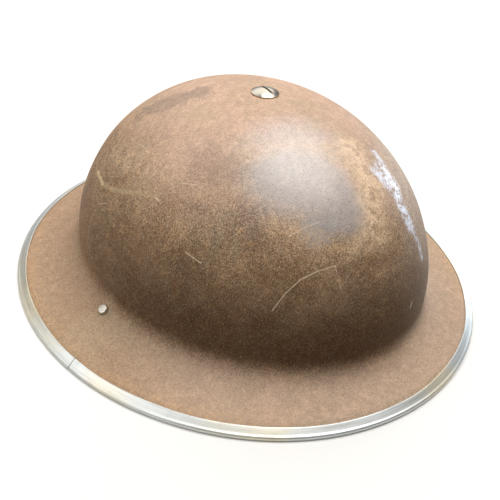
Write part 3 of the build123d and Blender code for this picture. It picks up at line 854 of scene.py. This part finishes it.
def skin(name: str, points: Array, ends: Ends, material: Material, uv: Array | None = None) -> Object:
    """Makes a smooth piece from a grid of points, its doubles merged and its faces turned outwards.

    Args:
        name: the piece's name.
        points: its points, by row and column.
        ends: what is at its first and last rows.
        material: what covers it.
        uv: its flat coordinates, by row and column.

    Returns:
        The piece.
    """
    rows, columns = points.shape[:2]
    faces = grid_faces(rows, columns, ends is Ends.JOINED).tolist()
    if ends is Ends.CAPPED:
        faces += [list(range(columns)), list(range((rows - 1) * columns, rows * columns))]
    mesh = bpy.data.meshes.new(name)
    mesh.from_pydata(points.reshape(-1, 3).tolist(), [], faces)
    layer = mesh.uv_layers.new(name="UVMap")
    corner = np.empty(len(mesh.loops), dtype=np.int32)
    mesh.loops.foreach_get("vertex_index", corner)
    flat = np.zeros((rows * columns, 2)) if uv is None else uv.reshape(-1, 2)
    layer.data.foreach_set("uv", flat[corner].astype(np.float32).ravel())
    mesh.polygons.foreach_set("use_smooth", np.ones(len(mesh.polygons), dtype=bool))
    mesh.materials.append(material)
    mesh.update()
    work = bmesh.new()
    work.from_mesh(mesh)
    bmesh.ops.remove_doubles(work, verts=work.verts, dist=1e-6)
    bmesh.ops.recalc_face_normals(work, faces=work.faces)
    work.to_mesh(mesh)
    work.free()
    return linked(name, mesh)


def sharpen(piece: Object, degrees: float) -> Object:
    """Keeps a piece's edges crisp past an angle, the rest smooth."""
    piece.data.set_sharp_from_angle(angle=math.radians(degrees))
    return piece


# Shell and rim


@dataclass
class Shell:
    """The pressed bowl and brim: rings of ellipses whose half axes follow a flare and a dome."""

    length: float = 308.0 * MM
    width: float = 292.8 * MM
    height: float = 123.5 * MM
    wall: float = 1.0 * MM
    front_reach: float = 30.3 * MM
    side_reach: float = 40.7 * MM
    rise: float = 20.0 * MM
    edge_width: float = 6.6 * MM
    edge_fall: float = 3.6 * MM
    band_wall: float = 1.0 * MM
    crown_power: float = 2.15
    wall_power: float = 1.81
    flare_power: float = 2.7
    dent: float = 0.12 * MM
    dent_low: float = 6 * MM
    dent_high: float = 116 * MM
    dent_fade: float = 20 * MM
    columns: int = 384
    spacing: float = 1.7 * MM

    @property
    def edge_top(self) -> float:
        """Height of the brim's upper face at its edge."""
        return self.band_wall + self.wall

    @property
    def waist(self) -> float:
        """Height where the flare meets the dome."""
        return self.edge_top + self.rise

    @staticmethod
    def _quarter(angle: Array, run: float, rise: float, powers: Pair, out: float) -> tuple[Array, Array]:
        """Quarter superellipse moved out along its normal.

        The point is run times cosine to 2 over the first power, and rise times sine to 2 over the
        second; the normal has rise times the first power times cosine to 2 less 2 over it, and the
        same with run, the second power and sine.

        Args:
            angle: the parameter, from 0 to a quarter turn.
            run: half size across.
            rise: half size upwards.
            powers: the two powers.
            out: how far the point is moved.

        Returns:
            Distances across and upwards.
        """
        p, q = powers
        cos, sin = np.clip(np.cos(angle), 0, 1), np.clip(np.sin(angle), 0, 1)
        normal = np.stack([rise * p * cos ** (2 - 2 / p), run * q * sin ** (2 - 2 / q)])
        normal = normal / np.linalg.norm(normal, axis=0)
        return run * cos ** (2 / p) + out * normal[0], rise * sin ** (2 / q) + out * normal[1]

    def profile(self, inset: float, count: int = 900) -> Array:
        """Half width, half length and height of the rings from the rim to the crown.

        Args:
            inset: how far inside the outer face.
            count: samples for each of the flare and the dome.

        Returns:
            Three numbers to a ring.
        """
        dome = np.linspace(0, math.pi / 2, count)
        flare = np.linspace(math.pi / 2, 0, count)
        flare_powers = (self.flare_power, self.flare_power)
        dome_powers = (self.crown_power, self.wall_power)
        flare_rise, dome_rise = self.rise - self.edge_fall, self.height - self.waist
        sides = []
        for edge, reach in ((self.width / 2, self.side_reach), (self.length / 2, self.front_reach)):
            bowl, bend = edge - reach, edge - self.edge_width
            run, fall = self._quarter(flare, bend - bowl, flare_rise, flare_powers, inset)
            out, up = self._quarter(dome, bowl, dome_rise, dome_powers, -inset)
            radius = np.concatenate([[edge], bend - run, out])
            level = np.concatenate([[self.edge_top - inset], self.waist - fall, self.waist + up])
            sides.append((radius, level))
        (wide, wide_level), (long, long_level) = sides
        return np.stack([wide, long, (wide_level + long_level) / 2], axis=1)

    def face(self, inset: float, spacing: float) -> Array:
        """One face of the sheet: half width times cosine, half length times sine, and the height.

        Args:
            inset: how far inside the outer face.
            spacing: distance between rings.

        Returns:
            Points by ring and angle.
        """
        rings = spaced(self.profile(inset), spacing)
        rings[-1, :2] = 0.0
        angle = np.linspace(0, 2 * math.pi, self.columns, endpoint=False)
        x = rings[:, :1] * np.cos(angle)
        y = rings[:, 1:2] * np.sin(angle)
        return np.stack([x, y, np.broadcast_to(rings[:, 2:], x.shape)], axis=-1)

    def dents(self, points: Array) -> Array:
        """Hand-made unevenness: slow waves of up to a fifth of a millimetre, none at rim and crown.

        The wave is a sine across times a sine along, and a weaker slanted sine.

        Args:
            points: the outer face.

        Returns:
            How far out each point moves.
        """
        x, y, z = np.moveaxis(points, -1, 0)
        wave = np.sin(x * 61 + 1.3) * np.sin(y * 53 + 0.4) + 0.6 * np.sin(x * 97 + y * 71 + z * 83)
        above_rim = np.clip((z - self.dent_low) / self.dent_fade, 0, 1)
        below_crown = np.clip((self.dent_high - z) / self.dent_fade, 0, 1)
        return wave * self.dent * above_rim * below_crown

    def build(self, finish: Material) -> Object:
        """Makes the shell's skin: outside, rim edge and inside as one closed surface.

        Args:
            finish: the paint.

        Returns:
            The piece.
        """
        outside = self.face(0.0, self.spacing)
        radial = outside * np.array([1.0, 1.0, 0.6])
        radial /= np.maximum(np.linalg.norm(radial, axis=-1, keepdims=True), 1e-9)
        outside = outside + radial * self.dents(outside)[..., None]
        inside = self.face(self.wall, self.spacing * 1.6)[::-1]
        piece = skin("shell_skin", np.concatenate([inside, outside]), Ends.POLES, finish)
        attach(piece, "helmet")
        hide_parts("shell")
        return piece


@dataclass
class RimBand:
    """The folded bright strip: a C section carried round the rim, open at its butt joint.

    Angles are in degrees.
    """

    half_width: float = 147.45 * MM
    half_length: float = 155.05 * MM
    depth: float = 5.5 * MM
    wall: float = 1.0 * MM
    slot: float = 1.05 * MM
    round: float = 1.4 * MM
    lip: float = 0.35 * MM
    slope: float = 3.6 / 6.6
    gap: float = 0.4 * MM
    seam_bearing: float = -172.0
    seam_skew: float = 10.0
    seam_reach: float = 12 * MM
    wander: float = 0.10 * MM
    wander_from: float = 3 * MM
    wander_fade: float = 2 * MM
    crisp: float = 50.0
    stations: int = 720

    def section(self) -> Array:
        """The strip's section round the C: its lower side flat, its upper side on the edge's slope.

        Returns:
            Distance in from the outer edge and height, two numbers to a row.
        """
        roof = self.slot + self.wall
        lip_level = roof + (self.depth - self.slot) * self.slope
        top, peak = roof + self.wall, lip_level + self.wall
        pitch = math.atan2(peak - top, self.depth - self.round)
        centre = peak - self.lip * (math.tan(pitch) + 1 / math.cos(pitch))
        turn = np.radians(np.linspace(90.0, 270.0, 15))
        fold = np.stack([self.round * (1 - np.abs(np.cos(turn))), top / 2 * (1 + np.sin(turn))], axis=1)
        reach = self.depth - self.lip
        upper = arc((reach, centre), self.lip, 0.0, 90.0 + math.degrees(pitch), 0.12 * MM)
        lower = arc((reach, self.lip), self.lip, 270.0, 90.0, 0.15 * MM)
        slope = upper[-1] + np.linspace(0, 1, 6)[1:-1, None] * (fold[0] - upper[-1])
        floor = [(self.depth, self.wall), (self.slot, self.wall)]
        inside = np.array([*floor, (self.slot, roof), (self.depth, lip_level)])
        return np.concatenate([upper, slope, fold, lower, inside])

    def build(self, finish: Material) -> Object:
        """Makes the band.

        Each station is a point on the ellipse; the section stands on its inward normal and leans
        near the joint. The strip's inner edge wanders a little, as a hand-closed fold does.

        Args:
            finish: the bright steel.

        Returns:
            The piece.
        """
        section = self.section()
        bearing = math.radians(self.seam_bearing)
        seam = np.array([self.half_width * math.cos(bearing), self.half_length * math.sin(bearing)])
        half_gap = self.gap / 2 / np.linalg.norm(seam)
        angle = np.linspace(bearing + half_gap, bearing + 2 * math.pi - half_gap, self.stations)
        x, y = np.cos(angle), np.sin(angle)
        rim = np.stack([self.half_width * x, self.half_length * y], axis=1)
        normal = unit(np.stack([self.half_length * x, self.half_width * y], axis=1))
        run = run_of(rim)
        from_joint = np.minimum(run, run[-1] - run)
        lean = np.clip(1 - from_joint / self.seam_reach, 0, 1) * math.tan(math.radians(self.seam_skew))
        wander = self.wander * (np.sin(run * 95) + 0.7 * np.sin(run * 41 + 1.0))
        inward = np.repeat(section[None, :, 0], self.stations, axis=0)
        share = np.clip((inward - self.wander_from) / self.wander_fade, 0, 1)
        inward = inward - wander[:, None] * share
        flat = rim[:, None, :] - inward[..., None] * normal[:, None, :]
        flat = flat - (inward * lean[:, None])[..., None] * leftward(normal)[:, None, :]
        level = np.broadcast_to(section[None, :, 1], inward.shape)
        points = np.concatenate([flat, level[..., None]], axis=-1)
        uv = np.stack(np.broadcast_arrays(run[:, None], run_of(section)[None, :]), axis=-1)
        piece = sharpen(skin("rim_strip", points, Ends.CAPPED, finish, uv), self.crisp)
        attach(piece, "helmet")
        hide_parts("rim_band")
        return piece


# Liner


@dataclass
class Sweatband:
    """The lining of the headband: a soft J section carried round it, puckered a little."""

    band_x: float = 80.5 * MM
    band_y: float = 98.5 * MM
    band_wall: float = 1.5 * MM
    band_low: float = 26.0 * MM
    band_high: float = 56.044 * MM
    gap: float = 1.3 * MM
    wall: float = 1.2 * MM
    lip_gap: float = 0.3 * MM
    lip_height: float = 5.0 * MM
    top_drop: float = 2.0 * MM
    bend: float = 1.4 * MM
    sample: float = 0.7 * MM
    pucker: float = 0.12 * MM
    slow_pucker: float = 0.18 * MM
    pucker_fade: float = 20 * MM
    crisp: float = 60.0
    columns: int = 360

    def build(self, finish: Material) -> Object:
        """Makes the lining; only its inner wall, above the band's lower edge, is puckered.

        Args:
            finish: the leathercloth.

        Returns:
            The piece.
        """
        inner = -(self.band_wall + self.gap + self.wall / 2)
        outer = self.lip_gap + self.wall / 2
        low = self.band_low - self.lip_gap - self.wall / 2
        inside = [(inner, self.band_high - self.top_drop), (inner, low)]
        outside = [(outer, low), (outer, self.band_low + self.lip_height)]
        line = route([*inside, *outside], self.bend, self.sample)
        side = leftward(unit(np.gradient(line, axis=0))) * self.wall / 2
        section = np.concatenate([line + side, (line - side)[::-1]])
        angle = np.linspace(0, 2 * math.pi, self.columns, endpoint=False)
        pucker = self.pucker * np.sin(angle * 46) + self.slow_pucker * np.sin(angle * 11 + 0.7)
        share = np.clip((section[:, 1] - self.band_low) / self.pucker_fade, 0, 1) * (section[:, 0] < 0)
        offset = section[None, :, 0] - np.abs(pucker)[:, None] * share[None, :]
        x = (self.band_x + offset) * np.cos(angle)[:, None]
        y = (self.band_y + offset) * np.sin(angle)[:, None]
        points = np.stack(np.broadcast_arrays(x, y, section[None, :, 1]), axis=-1)
        piece = sharpen(skin("sweatband_lining", points, Ends.JOINED, finish), self.crisp)
        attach(piece, "helmet")
        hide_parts("sweatband")
        middle = np.array([self.band_x, self.band_y]) + line[:, 0].mean()
        long, short = middle.max(), middle.min()
        length = math.pi * (3 * (long + short) - math.sqrt((3 * long + short) * (long + 3 * short)))
        return piece


@dataclass
class Cushion:
    """Cross-shaped felt cushion, by rays from the hole's edge to the cross's edge."""

    half_length: float = 59.2 * MM
    half_width: float = 48.2 * MM
    half_arm: float = 18.0 * MM
    arm_power: int = 8
    corner_power: int = 14
    limit: float = 62 * MM
    thick: float = 7.6 * MM
    soft_edge: float = 4.0 * MM
    hole: float = 11.4 * MM
    top: float = 118.07 * MM
    arch_x: float = 80.25 * MM
    arch_y: float = 98.25 * MM
    arch_level: float = 56.044 * MM
    clear: float = 0.1 * MM
    lower_clear: float = 0.3 * MM
    quilt: float = 0.5 * MM
    rays: int = 288
    steps: int = 26
    edge_steps: int = 6
    voxel: float = 2.4 * MM
    pressure: float = 4.0
    swell: float = 1.6 * MM
    frames: int = 20

    def _arm(self, cos: Array, sin: Array, across: float, along: float) -> Array:
        """Superellipse's edge: 1 over the root of cosine over one half size and sine over the other."""
        power = self.arm_power
        return 1 / ((cos / across) ** power + (sin / along) ** power) ** (1 / power)

    def edge(self, angle: Array) -> Array:
        """Distance from the middle to the cross's edge: a soft maximum of the two arms' edges.

        Args:
            angle: the bearing.

        Returns:
            The distance.
        """
        cos, sin = np.abs(np.cos(angle)) + 1e-9, np.abs(np.sin(angle)) + 1e-9
        long_arm = self._arm(cos, sin, self.half_arm, self.half_length)
        cross_arm = self._arm(cos, sin, self.half_width, self.half_arm)
        return (long_arm**self.corner_power + cross_arm**self.corner_power) ** (1 / self.corner_power)

    def roof(self, x: Array, y: Array) -> Array:
        """Height of the room under the straps: the lower of their two elliptic arches at a place.

        Args:
            x: position across.
            y: position along.

        Returns:
            The height.
        """
        rise = self.top - self.arch_level
        over_x = rise * np.sqrt(np.clip(1 - (x / self.arch_x) ** 2, 0, 1))
        over_y = rise * np.sqrt(np.clip(1 - (y / self.arch_y) ** 2, 0, 1))
        return self.arch_level + np.minimum(over_x, over_y)

    def room(self, start: Array, end: Array) -> Array:
        """Keeps points under the straps and outside the hole for the nut.

        Args:
            start: where the points were.
            end: where they have gone.

        Returns:
            The points, put back where they left the room.
        """
        top = self.roof(end[:, 0], end[:, 1]) - self.clear
        radius = np.maximum(np.linalg.norm(end[:, :2], axis=1), 1e-9)
        least = np.minimum(np.linalg.norm(start[:, :2], axis=1), self.hole)
        flat = end[:, :2] * np.maximum(1.0, least / radius)[:, None]
        return np.column_stack([flat, np.minimum(end[:, 2], top)])

    def shape(self, finish: Material) -> Object:
        """Makes the cushion's shape from an upper and a lower face that meet at its edges.

        Both follow the arches. Near the edges the thickness is the cube root of 1 less the cube of
        the share of the soft edge that is left, and the lower face is quilted by two sines.

        Args:
            finish: the felt.

        Returns:
            The piece.
        """
        angle = np.linspace(0, 2 * math.pi, self.rays, endpoint=False)
        outer = np.minimum(self.edge(angle), self.limit)
        spans = [(0, 0.12, self.edge_steps), (0.12, 0.88, self.steps), (0.88, 1, self.edge_steps)]
        share = np.unique(np.concatenate([np.linspace(*span) for span in spans]))
        radius = self.hole + (outer[None, :] - self.hole) * share[:, None]
        x, y = radius * np.cos(angle), radius * np.sin(angle)
        near = np.minimum(radius - self.hole, outer[None, :] - radius) / self.soft_edge
        full = (1 - np.clip(1 - near, 0, 1) ** 3) ** (1 / 3)
        middle = self.roof(x, y) - self.thick * 0.5
        quilt = self.quilt * np.sin(x * 230) * np.sin(y * 210)
        upper = middle + self.thick * 0.5 * full - self.clear
        lower = middle - self.thick * 0.5 * full + quilt * full - self.lower_clear
        lower = np.minimum(lower, upper)
        faces = [np.stack([x, y, upper], axis=-1), np.stack([x, y, lower], axis=-1)[::-1]]
        return skin("crown_cushion", np.concatenate(faces), Ends.JOINED, finish)

    def inflate(self, piece: Object) -> None:
        """Swells the closed shape by cloth simulation, then caps how far each point has moved.

        Args:
            piece: the shape, slightly smaller than the finished one.
        """
        scene = bpy.context.scene
        remesh = piece.modifiers.new("even", "REMESH")
        remesh.mode = "VOXEL"
        remesh.voxel_size = self.voxel
        piece.data = baked(piece)
        piece.modifiers.clear()
        start = points_of(piece.data)
        cloth = piece.modifiers.new("cloth", "CLOTH")
        cloth.settings.use_pressure = True
        cloth.settings.uniform_pressure_force = self.pressure
        cloth.settings.effector_weights.gravity = 0.0
        for step in range(1, self.frames + 1):
            scene.frame_set(step)
        swollen = points_of(baked(piece))
        scene.frame_set(1)
        moved = swollen - start
        reach = np.maximum(np.linalg.norm(moved, axis=1, keepdims=True), 1e-9)
        points = self.room(start, start + moved * np.minimum(1.0, self.swell / reach))
        piece.modifiers.clear()
        piece.data.vertices.foreach_set("co", points.astype(np.float32).ravel())
        piece.data.update()
        finer = piece.modifiers.new("finer", "SUBSURF")
        finer.levels = finer.render_levels = 1
        piece.data = baked(piece)
        piece.modifiers.clear()
        piece.data.polygons.foreach_set("use_smooth", np.ones(len(piece.data.polygons), dtype=bool))

    def build(self, finish: Material) -> Object:
        """Args:
            finish: the felt.

        Returns:
            The piece.
        """
        piece = self.shape(finish)
        self.inflate(piece)
        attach(piece, "helmet")
        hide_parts("crown_pad")
        return piece


def baked(piece: Object) -> Mesh:
    """A new mesh with the results of the piece's modifiers."""
    graph = bpy.context.evaluated_depsgraph_get()
    return bpy.data.meshes.new_from_object(piece.evaluated_get(graph))


def points_of(mesh: Mesh) -> Array:
    """The mesh's points.

    Args:
        mesh: the mesh.

    Returns:
        Three numbers to a row.
    """
    flat = np.empty(len(mesh.vertices) * 3, dtype=np.float32)
    mesh.vertices.foreach_get("co", flat)
    return flat.reshape(-1, 3).astype(float)


# Chinstrap


def swept(line: Array, normal: Array, heights: Array) -> list[Array]:
    """Places at a section's heights off a line, across and up: the line plus normal times height."""
    return [line[:, k, None] + normal[:, k, None] * heights[None, :] for k in (0, 1)]


@dataclass
class Chinstrap:
    """Both halves of the cotton chinstrap and the small loop on the right one.

    Each half follows a route in the upright plane through the ears. All the routes are worked out
    for the left side; the right half and the loop are mirrored. Angles are in degrees.
    """

    width: float = 20.0 * MM
    wall: float = 1.8 * MM
    edge: float = 0.6 * MM
    sample: float = 0.6 * MM
    waver: float = 0.12 * MM
    ripple: float = 0.08 * MM
    crisp: float = 55.0
    bar: Pair = (-93.505 * MM, 4.2 * MM)
    bar_fold: float = 2.5 * MM
    lead: float = 20.0
    knee: float = 2.5 * MM
    low: float = 2.3 * MM
    high: float = 4.15 * MM
    left_end: float = -19.4 * MM
    hairpin: float = 4.0 * MM
    slope: float = 6.5
    tip_gap: float = 6.0 * MM
    loop_share: float = 0.32
    loop_foot: float = 6 * MM
    buckle: Pair = (-22.4 * MM, 3.6011 * MM)
    buckle_fold: float = 2.6511 * MM
    buckle_share: float = 0.305
    buckle_foot: float = 8 * MM
    keeper_half_width: float = 10.7 * MM
    keeper_half_height: float = 1.6 * MM
    keeper_wall: float = 1.0 * MM
    keeper_length: float = 6.0 * MM
    keeper_bend: float = 0.9 * MM
    keeper_ease: float = 0.3 * MM
    keeper_sample: float = 0.5 * MM

    def ribbon(self, name: str, line: Array, finish: Material, side: int) -> Object:
        """A flat strap along a line, its edges rounded, its cloth wavering slightly.

        Args:
            name: the piece's name.
            line: the middle line, across and up.
            finish: the weave.
            side: 1 as the line lies, -1 mirrored.

        Returns:
            The piece.
        """
        line = spaced(line, self.sample)
        normal = leftward(unit(np.gradient(line, axis=0)))
        half, thick = self.width / 2, self.wall / 2
        body = half - self.edge
        bulge = arc((body, 0.0), thick, 90.0, -180.0, 0.35 * MM)
        bulge[:, 0] = body + (bulge[:, 0] - body) * self.edge / thick
        across = np.linspace(-body, body, 11)
        upper = np.stack([across, np.full(across.shape, thick)], axis=1)
        section = np.concatenate([upper, bulge[1:-1], -upper, -bulge[1:-1]])
        run = np.arange(len(line)) * self.sample
        waver = self.waver * np.sin(run * 210) + self.ripple * np.sin(run * 470 + 1)
        y = section[None, :, 0] * (1 - np.abs(waver[:, None]) / half)
        x, z = swept(line, normal, section[:, 1])
        points = np.stack(np.broadcast_arrays(side * x, y, z), axis=-1)
        uv = np.stack(np.broadcast_arrays(run[:, None], section[None, :, 0]), axis=-1)
        return sharpen(skin(name, points, Ends.CAPPED, finish, uv), self.crisp)

    def turn(self, bar: Pair, radius: float, side: int, top: float, foot: float) -> Array:
        """The webbing round a bar: in at the high level, round the bar and out at the low level.

        It leaves the bar at the lead angle above and below, and a rounded knee joins each slope to
        its level run.

        Args:
            bar: the bar, across and up.
            radius: the middle line's radius.
            side: 1 where the webbing leaves to the right of the bar, -1 to the left.
            top: where the high run ends.
            foot: how long the low run is.

        Returns:
            Points from the high end to the low end.
        """
        lead = math.radians(self.lead)
        x, z = bar
        lift = radius * math.cos(lead)
        near = x + side * radius * math.sin(lead)
        high_knee = near + side * (z + lift - self.high) / math.tan(lead)
        low_knee = near + side * (self.low - z + lift) / math.tan(lead)
        above = route([(top, self.high), (high_knee, self.high), (near, z + lift)], self.knee)
        low_run = [(low_knee, self.low), (low_knee + side * foot, self.low)]
        below = route([(near, z - lift), *low_run], self.knee)
        bend = arc(bar, radius, 90 - side * self.lead, side * (180 + 2 * self.lead))
        return np.concatenate([above, bend[1:-1], below])

    def left(self, finish: Material) -> Object:
        """The left half: out along the floor of the rim, and back over itself to its tipped end.

        Args:
            finish: the weave.

        Returns:
            The piece.
        """
        run = self.left_end - self.bar[0]
        sewn = run * self.loop_share
        back = run - sewn - self.tip_gap
        slope = math.radians(self.slope)
        centre = (self.left_end, self.low + self.hairpin)
        start = np.array(centre) + self.hairpin * np.array([-math.sin(slope), math.cos(slope)])
        end = start - back * np.array([math.cos(slope), math.sin(slope)])
        line = np.concatenate(
            [
                self.turn(self.bar, self.bar_fold, 1, self.bar[0] + sewn, self.loop_foot),
                arc(centre, self.hairpin, -90.0, 180 + self.slope),
                spaced(np.stack([start, end]), 1 * MM)[1:],
            ]
        )
        piece = self.ribbon("left_webbing", line, finish, 1)
        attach(piece, "left_strap")
        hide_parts("left_chinstrap")
        return piece

    def right(self, finish: Material) -> Object:
        """The right half: out to the buckle, round its bar and back on top.

        Args:
            finish: the weave.

        Returns:
            The piece.
        """
        run = self.buckle[0] - self.bar[0]
        loop_top = self.bar[0] + run * self.loop_share
        buckle_top = self.buckle[0] - run * self.buckle_share
        loop = self.turn(self.bar, self.bar_fold, 1, loop_top, self.loop_foot)
        buckle = self.turn(self.buckle, self.buckle_fold, -1, buckle_top, self.buckle_foot)
        piece = self.ribbon("right_webbing", np.concatenate([loop, buckle[::-1]]), finish, -1)
        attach(piece, "right_strap")
        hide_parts("right_chinstrap")
        return piece

    def keeper(self, finish: Material) -> Object:
        """The small woven loop round the right half's single layer.

        Args:
            finish: the weave.

        Returns:
            The piece.
        """
        run = self.buckle[0] - self.bar[0]
        middle = (self.bar[0] + run * self.loop_share + self.buckle[0] - run * self.buckle_share) / 2
        wide, tall = self.keeper_half_width, self.keeper_half_height
        corners = [(wide, -tall), (wide, tall), (-wide, tall), (-wide, -tall)]
        line = route([(0, -tall), *corners, (0, -tall)], self.keeper_bend, self.keeper_sample)
        tangent = np.gradient(line, axis=0)
        tangent[0] = tangent[-1] = (1.0, 0.0)
        normal = leftward(unit(tangent))[:-1]
        half, rise, ease = self.keeper_length / 2, self.keeper_wall / 2, self.keeper_ease
        right = [(half, rise - ease), (half - ease, rise)]
        upper = np.array([*right, (-half + ease, rise), (-half, rise - ease)])
        section = np.concatenate([-upper, upper])
        y, z = swept(line[:-1] + np.array([0.0, self.low]), normal, section[:, 1])
        points = np.stack(np.broadcast_arrays(-middle + section[None, :, 0], y, z), axis=-1)
        along = np.arange(len(y)) * self.keeper_sample
        uv = np.stack(np.broadcast_arrays(along[:, None], section[None, :, 0]), axis=-1)
        piece = skin("webbing_keeper", points, Ends.JOINED, finish, uv)
        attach(piece, "keeper")
        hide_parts("strap_keeper")
        return piece


# Studio


@dataclass(frozen=True)
class Lamp:
    """A soft rectangular lamp aimed at the bowl, its power in watts."""

    name: str
    place: Point
    size: Pair
    power: float
    colour: Colour
    aim: Point = (0, 0, 0.06)

    def hang(self) -> None:
        """Puts the lamp in the scene."""
        data = bpy.data.lights.new(self.name, "AREA")
        data.shape = "RECTANGLE"
        data.size, data.size_y = self.size
        data.energy = self.power
        data.color = self.colour
        lamp = linked(self.name, data)
        lamp.location = self.place
        line = Vector(self.aim) - Vector(self.place)
        lamp.rotation_euler = line.to_track_quat("-Z", "Y").to_euler()


@dataclass
class Studio:
    """Pale floor, soft lights and the photograph's camera, its lens and sensor in millimetres."""

    eye: Point = (-0.26743, -0.27750, 0.28451)
    aim: Point = (0.01176, 0.00976, 0.0)
    roll: float = 6.474
    lens: float = 50.4
    sensor: float = 36.0
    half_floor: float = 3.0
    floor_light: Colour = (0.22, 0.21, 0.20)
    floor_seen: Colour = (0.74, 0.73, 0.71)
    sky: Colour = (0.93, 0.95, 1.0)
    sky_strength: float = 0.22
    lamps: tuple[Lamp, ...] = (
        Lamp("overhead", (0.22, -0.12, 1.08), (0.65, 0.65), 11.0, (1.0, 0.985, 0.96)),
        Lamp("soft_box", (0.45, 0.78, 0.95), (1.4, 1.1), 10.0, (1.0, 0.975, 0.94)),
        Lamp("fill", (-0.90, 0.35, 0.80), (1.0, 1.0), 7.5, (1.0, 0.985, 0.955)),
        Lamp("window", (1.1, 0.02, 0.10), (0.16, 0.34), 4.6, (0.78, 0.89, 1.0)),
    )

    def camera(self) -> None:
        """The camera, rolled about its line of sight."""
        data = bpy.data.cameras.new("photo_camera")
        data.sensor_width = self.sensor
        data.lens = self.lens
        data.clip_start = 0.01
        back = (Vector(self.eye) - Vector(self.aim)).normalized()
        level = Vector((0, 0, 1)).cross(back).normalized()
        upright = back.cross(level)
        turn = math.radians(self.roll)
        right = level * math.cos(turn) + upright * math.sin(turn)
        up = upright * math.cos(turn) - level * math.sin(turn)
        place = Matrix((right, up, back)).transposed().to_4x4()
        place.translation = Vector(self.eye)
        camera = linked("photo_camera", data)
        camera.matrix_world = place
        bpy.context.scene.camera = camera

    def floor(self) -> None:
        """A wide pale sheet, bright to the camera and duller as a source of light."""
        size = self.half_floor
        corners = [(-size, -size, 0), (size, -size, 0), (size, size, 0), (-size, size, 0)]
        mesh = bpy.data.meshes.new("floor")
        mesh.from_pydata(corners, [], [(0, 1, 2, 3)])
        floor = linked("floor", mesh)
        f = Finish("floor_sheet")
        seen = f.node("LightPath", {}, {}).outputs
        camera, glossy, through = (
            Value(f, seen[name]) for name in ("Is Camera Ray", "Is Glossy Ray", "Is Transmission Ray")
        )
        shown = camera.most(glossy).most(through)
        mesh.materials.append(
            f.coat(Base_Color=f.cover(self.floor_light, (shown, self.floor_seen)), Roughness=0.9)
        )

    def light(self) -> None:
        """The lamps and a dim world: soft overhead, behind and at the left, a cool window at the right."""
        for lamp in self.lamps:
            lamp.hang()
        world = bpy.data.worlds.new("room")
        world.use_nodes = True
        back = world.node_tree.nodes["Background"]
        back.inputs["Color"].default_value = (*self.sky, 1.0)
        back.inputs["Strength"].default_value = self.sky_strength
        bpy.context.scene.world = world

    def build(self) -> None:
        """Sets up the whole studio."""
        self.camera()
        self.floor()
        self.light()
        bpy.context.scene.view_settings.view_transform = "Standard"


# Assembly


def finishes() -> dict[str, Material]:
    """Every finish by the record's slot name.

    Returns:
        Materials by slot.
    """
    made = {
        "shell_paint": WornPaint(),
        "rim_steel": Steel("bright_rim", (0.60, 0.615, 0.60), (0.67, 0.62, 0.49), 0.48, 0.30, drawn=True),
        "screw_steel": Steel("screw_head", (0.42, 0.385, 0.33), (0.40, 0.33, 0.24), 0.30, 0.35),
        "fixing_steel": Steel("dull_fixing", (0.36, 0.34, 0.32), (0.34, 0.29, 0.24), 0.45, 0.6),
        "lug_steel": Steel("lug_clip", (0.26, 0.23, 0.20), (0.25, 0.20, 0.15), 0.5, 0.7),
        "rivet_steel": Steel("rivet_head", (0.56, 0.53, 0.47), (0.53, 0.46, 0.35), 0.33, 0.4),
        "wire_steel": Steel("loop_wire", (0.40, 0.38, 0.35), (0.38, 0.33, 0.26), 0.38, 0.5),
        "liner_fibre": Hide("hard_fibre", (0.085, 0.05, 0.03), (0.17, 0.11, 0.07), 420.0, 0.55, 0.25),
        "leathercloth": Hide("leathercloth", (0.035, 0.028, 0.023), (0.10, 0.07, 0.05), 900.0, 0.48, 0.5),
        "buffer_rubber": Hide("buffer_rubber", (0.035, 0.033, 0.031), (0.08, 0.075, 0.07), 700.0, 0.75, 0.2),
        "rivet_brass": Steel("aged_rivet", (0.60, 0.43, 0.20), (0.57, 0.37, 0.15), 0.36, 0.6),
        "buckle_brass": Steel("aged_buckle", (0.62, 0.46, 0.22), (0.59, 0.40, 0.16), 0.34, 0.5),
        "felt": Felt(),
        "webbing": Weave("khaki_webbing", (0.36, 0.30, 0.19), (0.15, 0.115, 0.065)),
    }
    return {slot: finish.build() for slot, finish in made.items()}


def dress(looks: dict[str, Material]) -> None:
    """Gives each carried-over node the finish of its material slot.

    Args:
        looks: materials by the record's slot names.
    """
    slots = {row["node"]: row["material_slot"] for row in frame["record"]["subparts"]}
    for node, piece in frame["nodes"].items():
        for place in piece.material_slots:
            place.link = "OBJECT"
            place.material = looks[slots[node]]


def main() -> None:
    """Builds every sub-assembly in order and reports each piece."""
    logging.basicConfig(level=logging.INFO, format="%(name)s: %(message)s")
    looks = finishes()
    Studio().build()
    dress(looks)
    strap = Chinstrap()
    makers: list[tuple[Callable[[Material], Object], str]] = [
        (Shell().build, "shell_paint"),
        (RimBand().build, "rim_steel"),
        (Sweatband().build, "leathercloth"),
        (Cushion().build, "felt"),
        (strap.left, "webbing"),
        (strap.right, "webbing"),
        (strap.keeper, "webbing"),
    ]
    for make, slot in makers:
        piece = make(looks[slot])
        log.info("%s: %d faces", piece.name, len(piece.data.polygons))


if __name__ == "__main__":
    main()
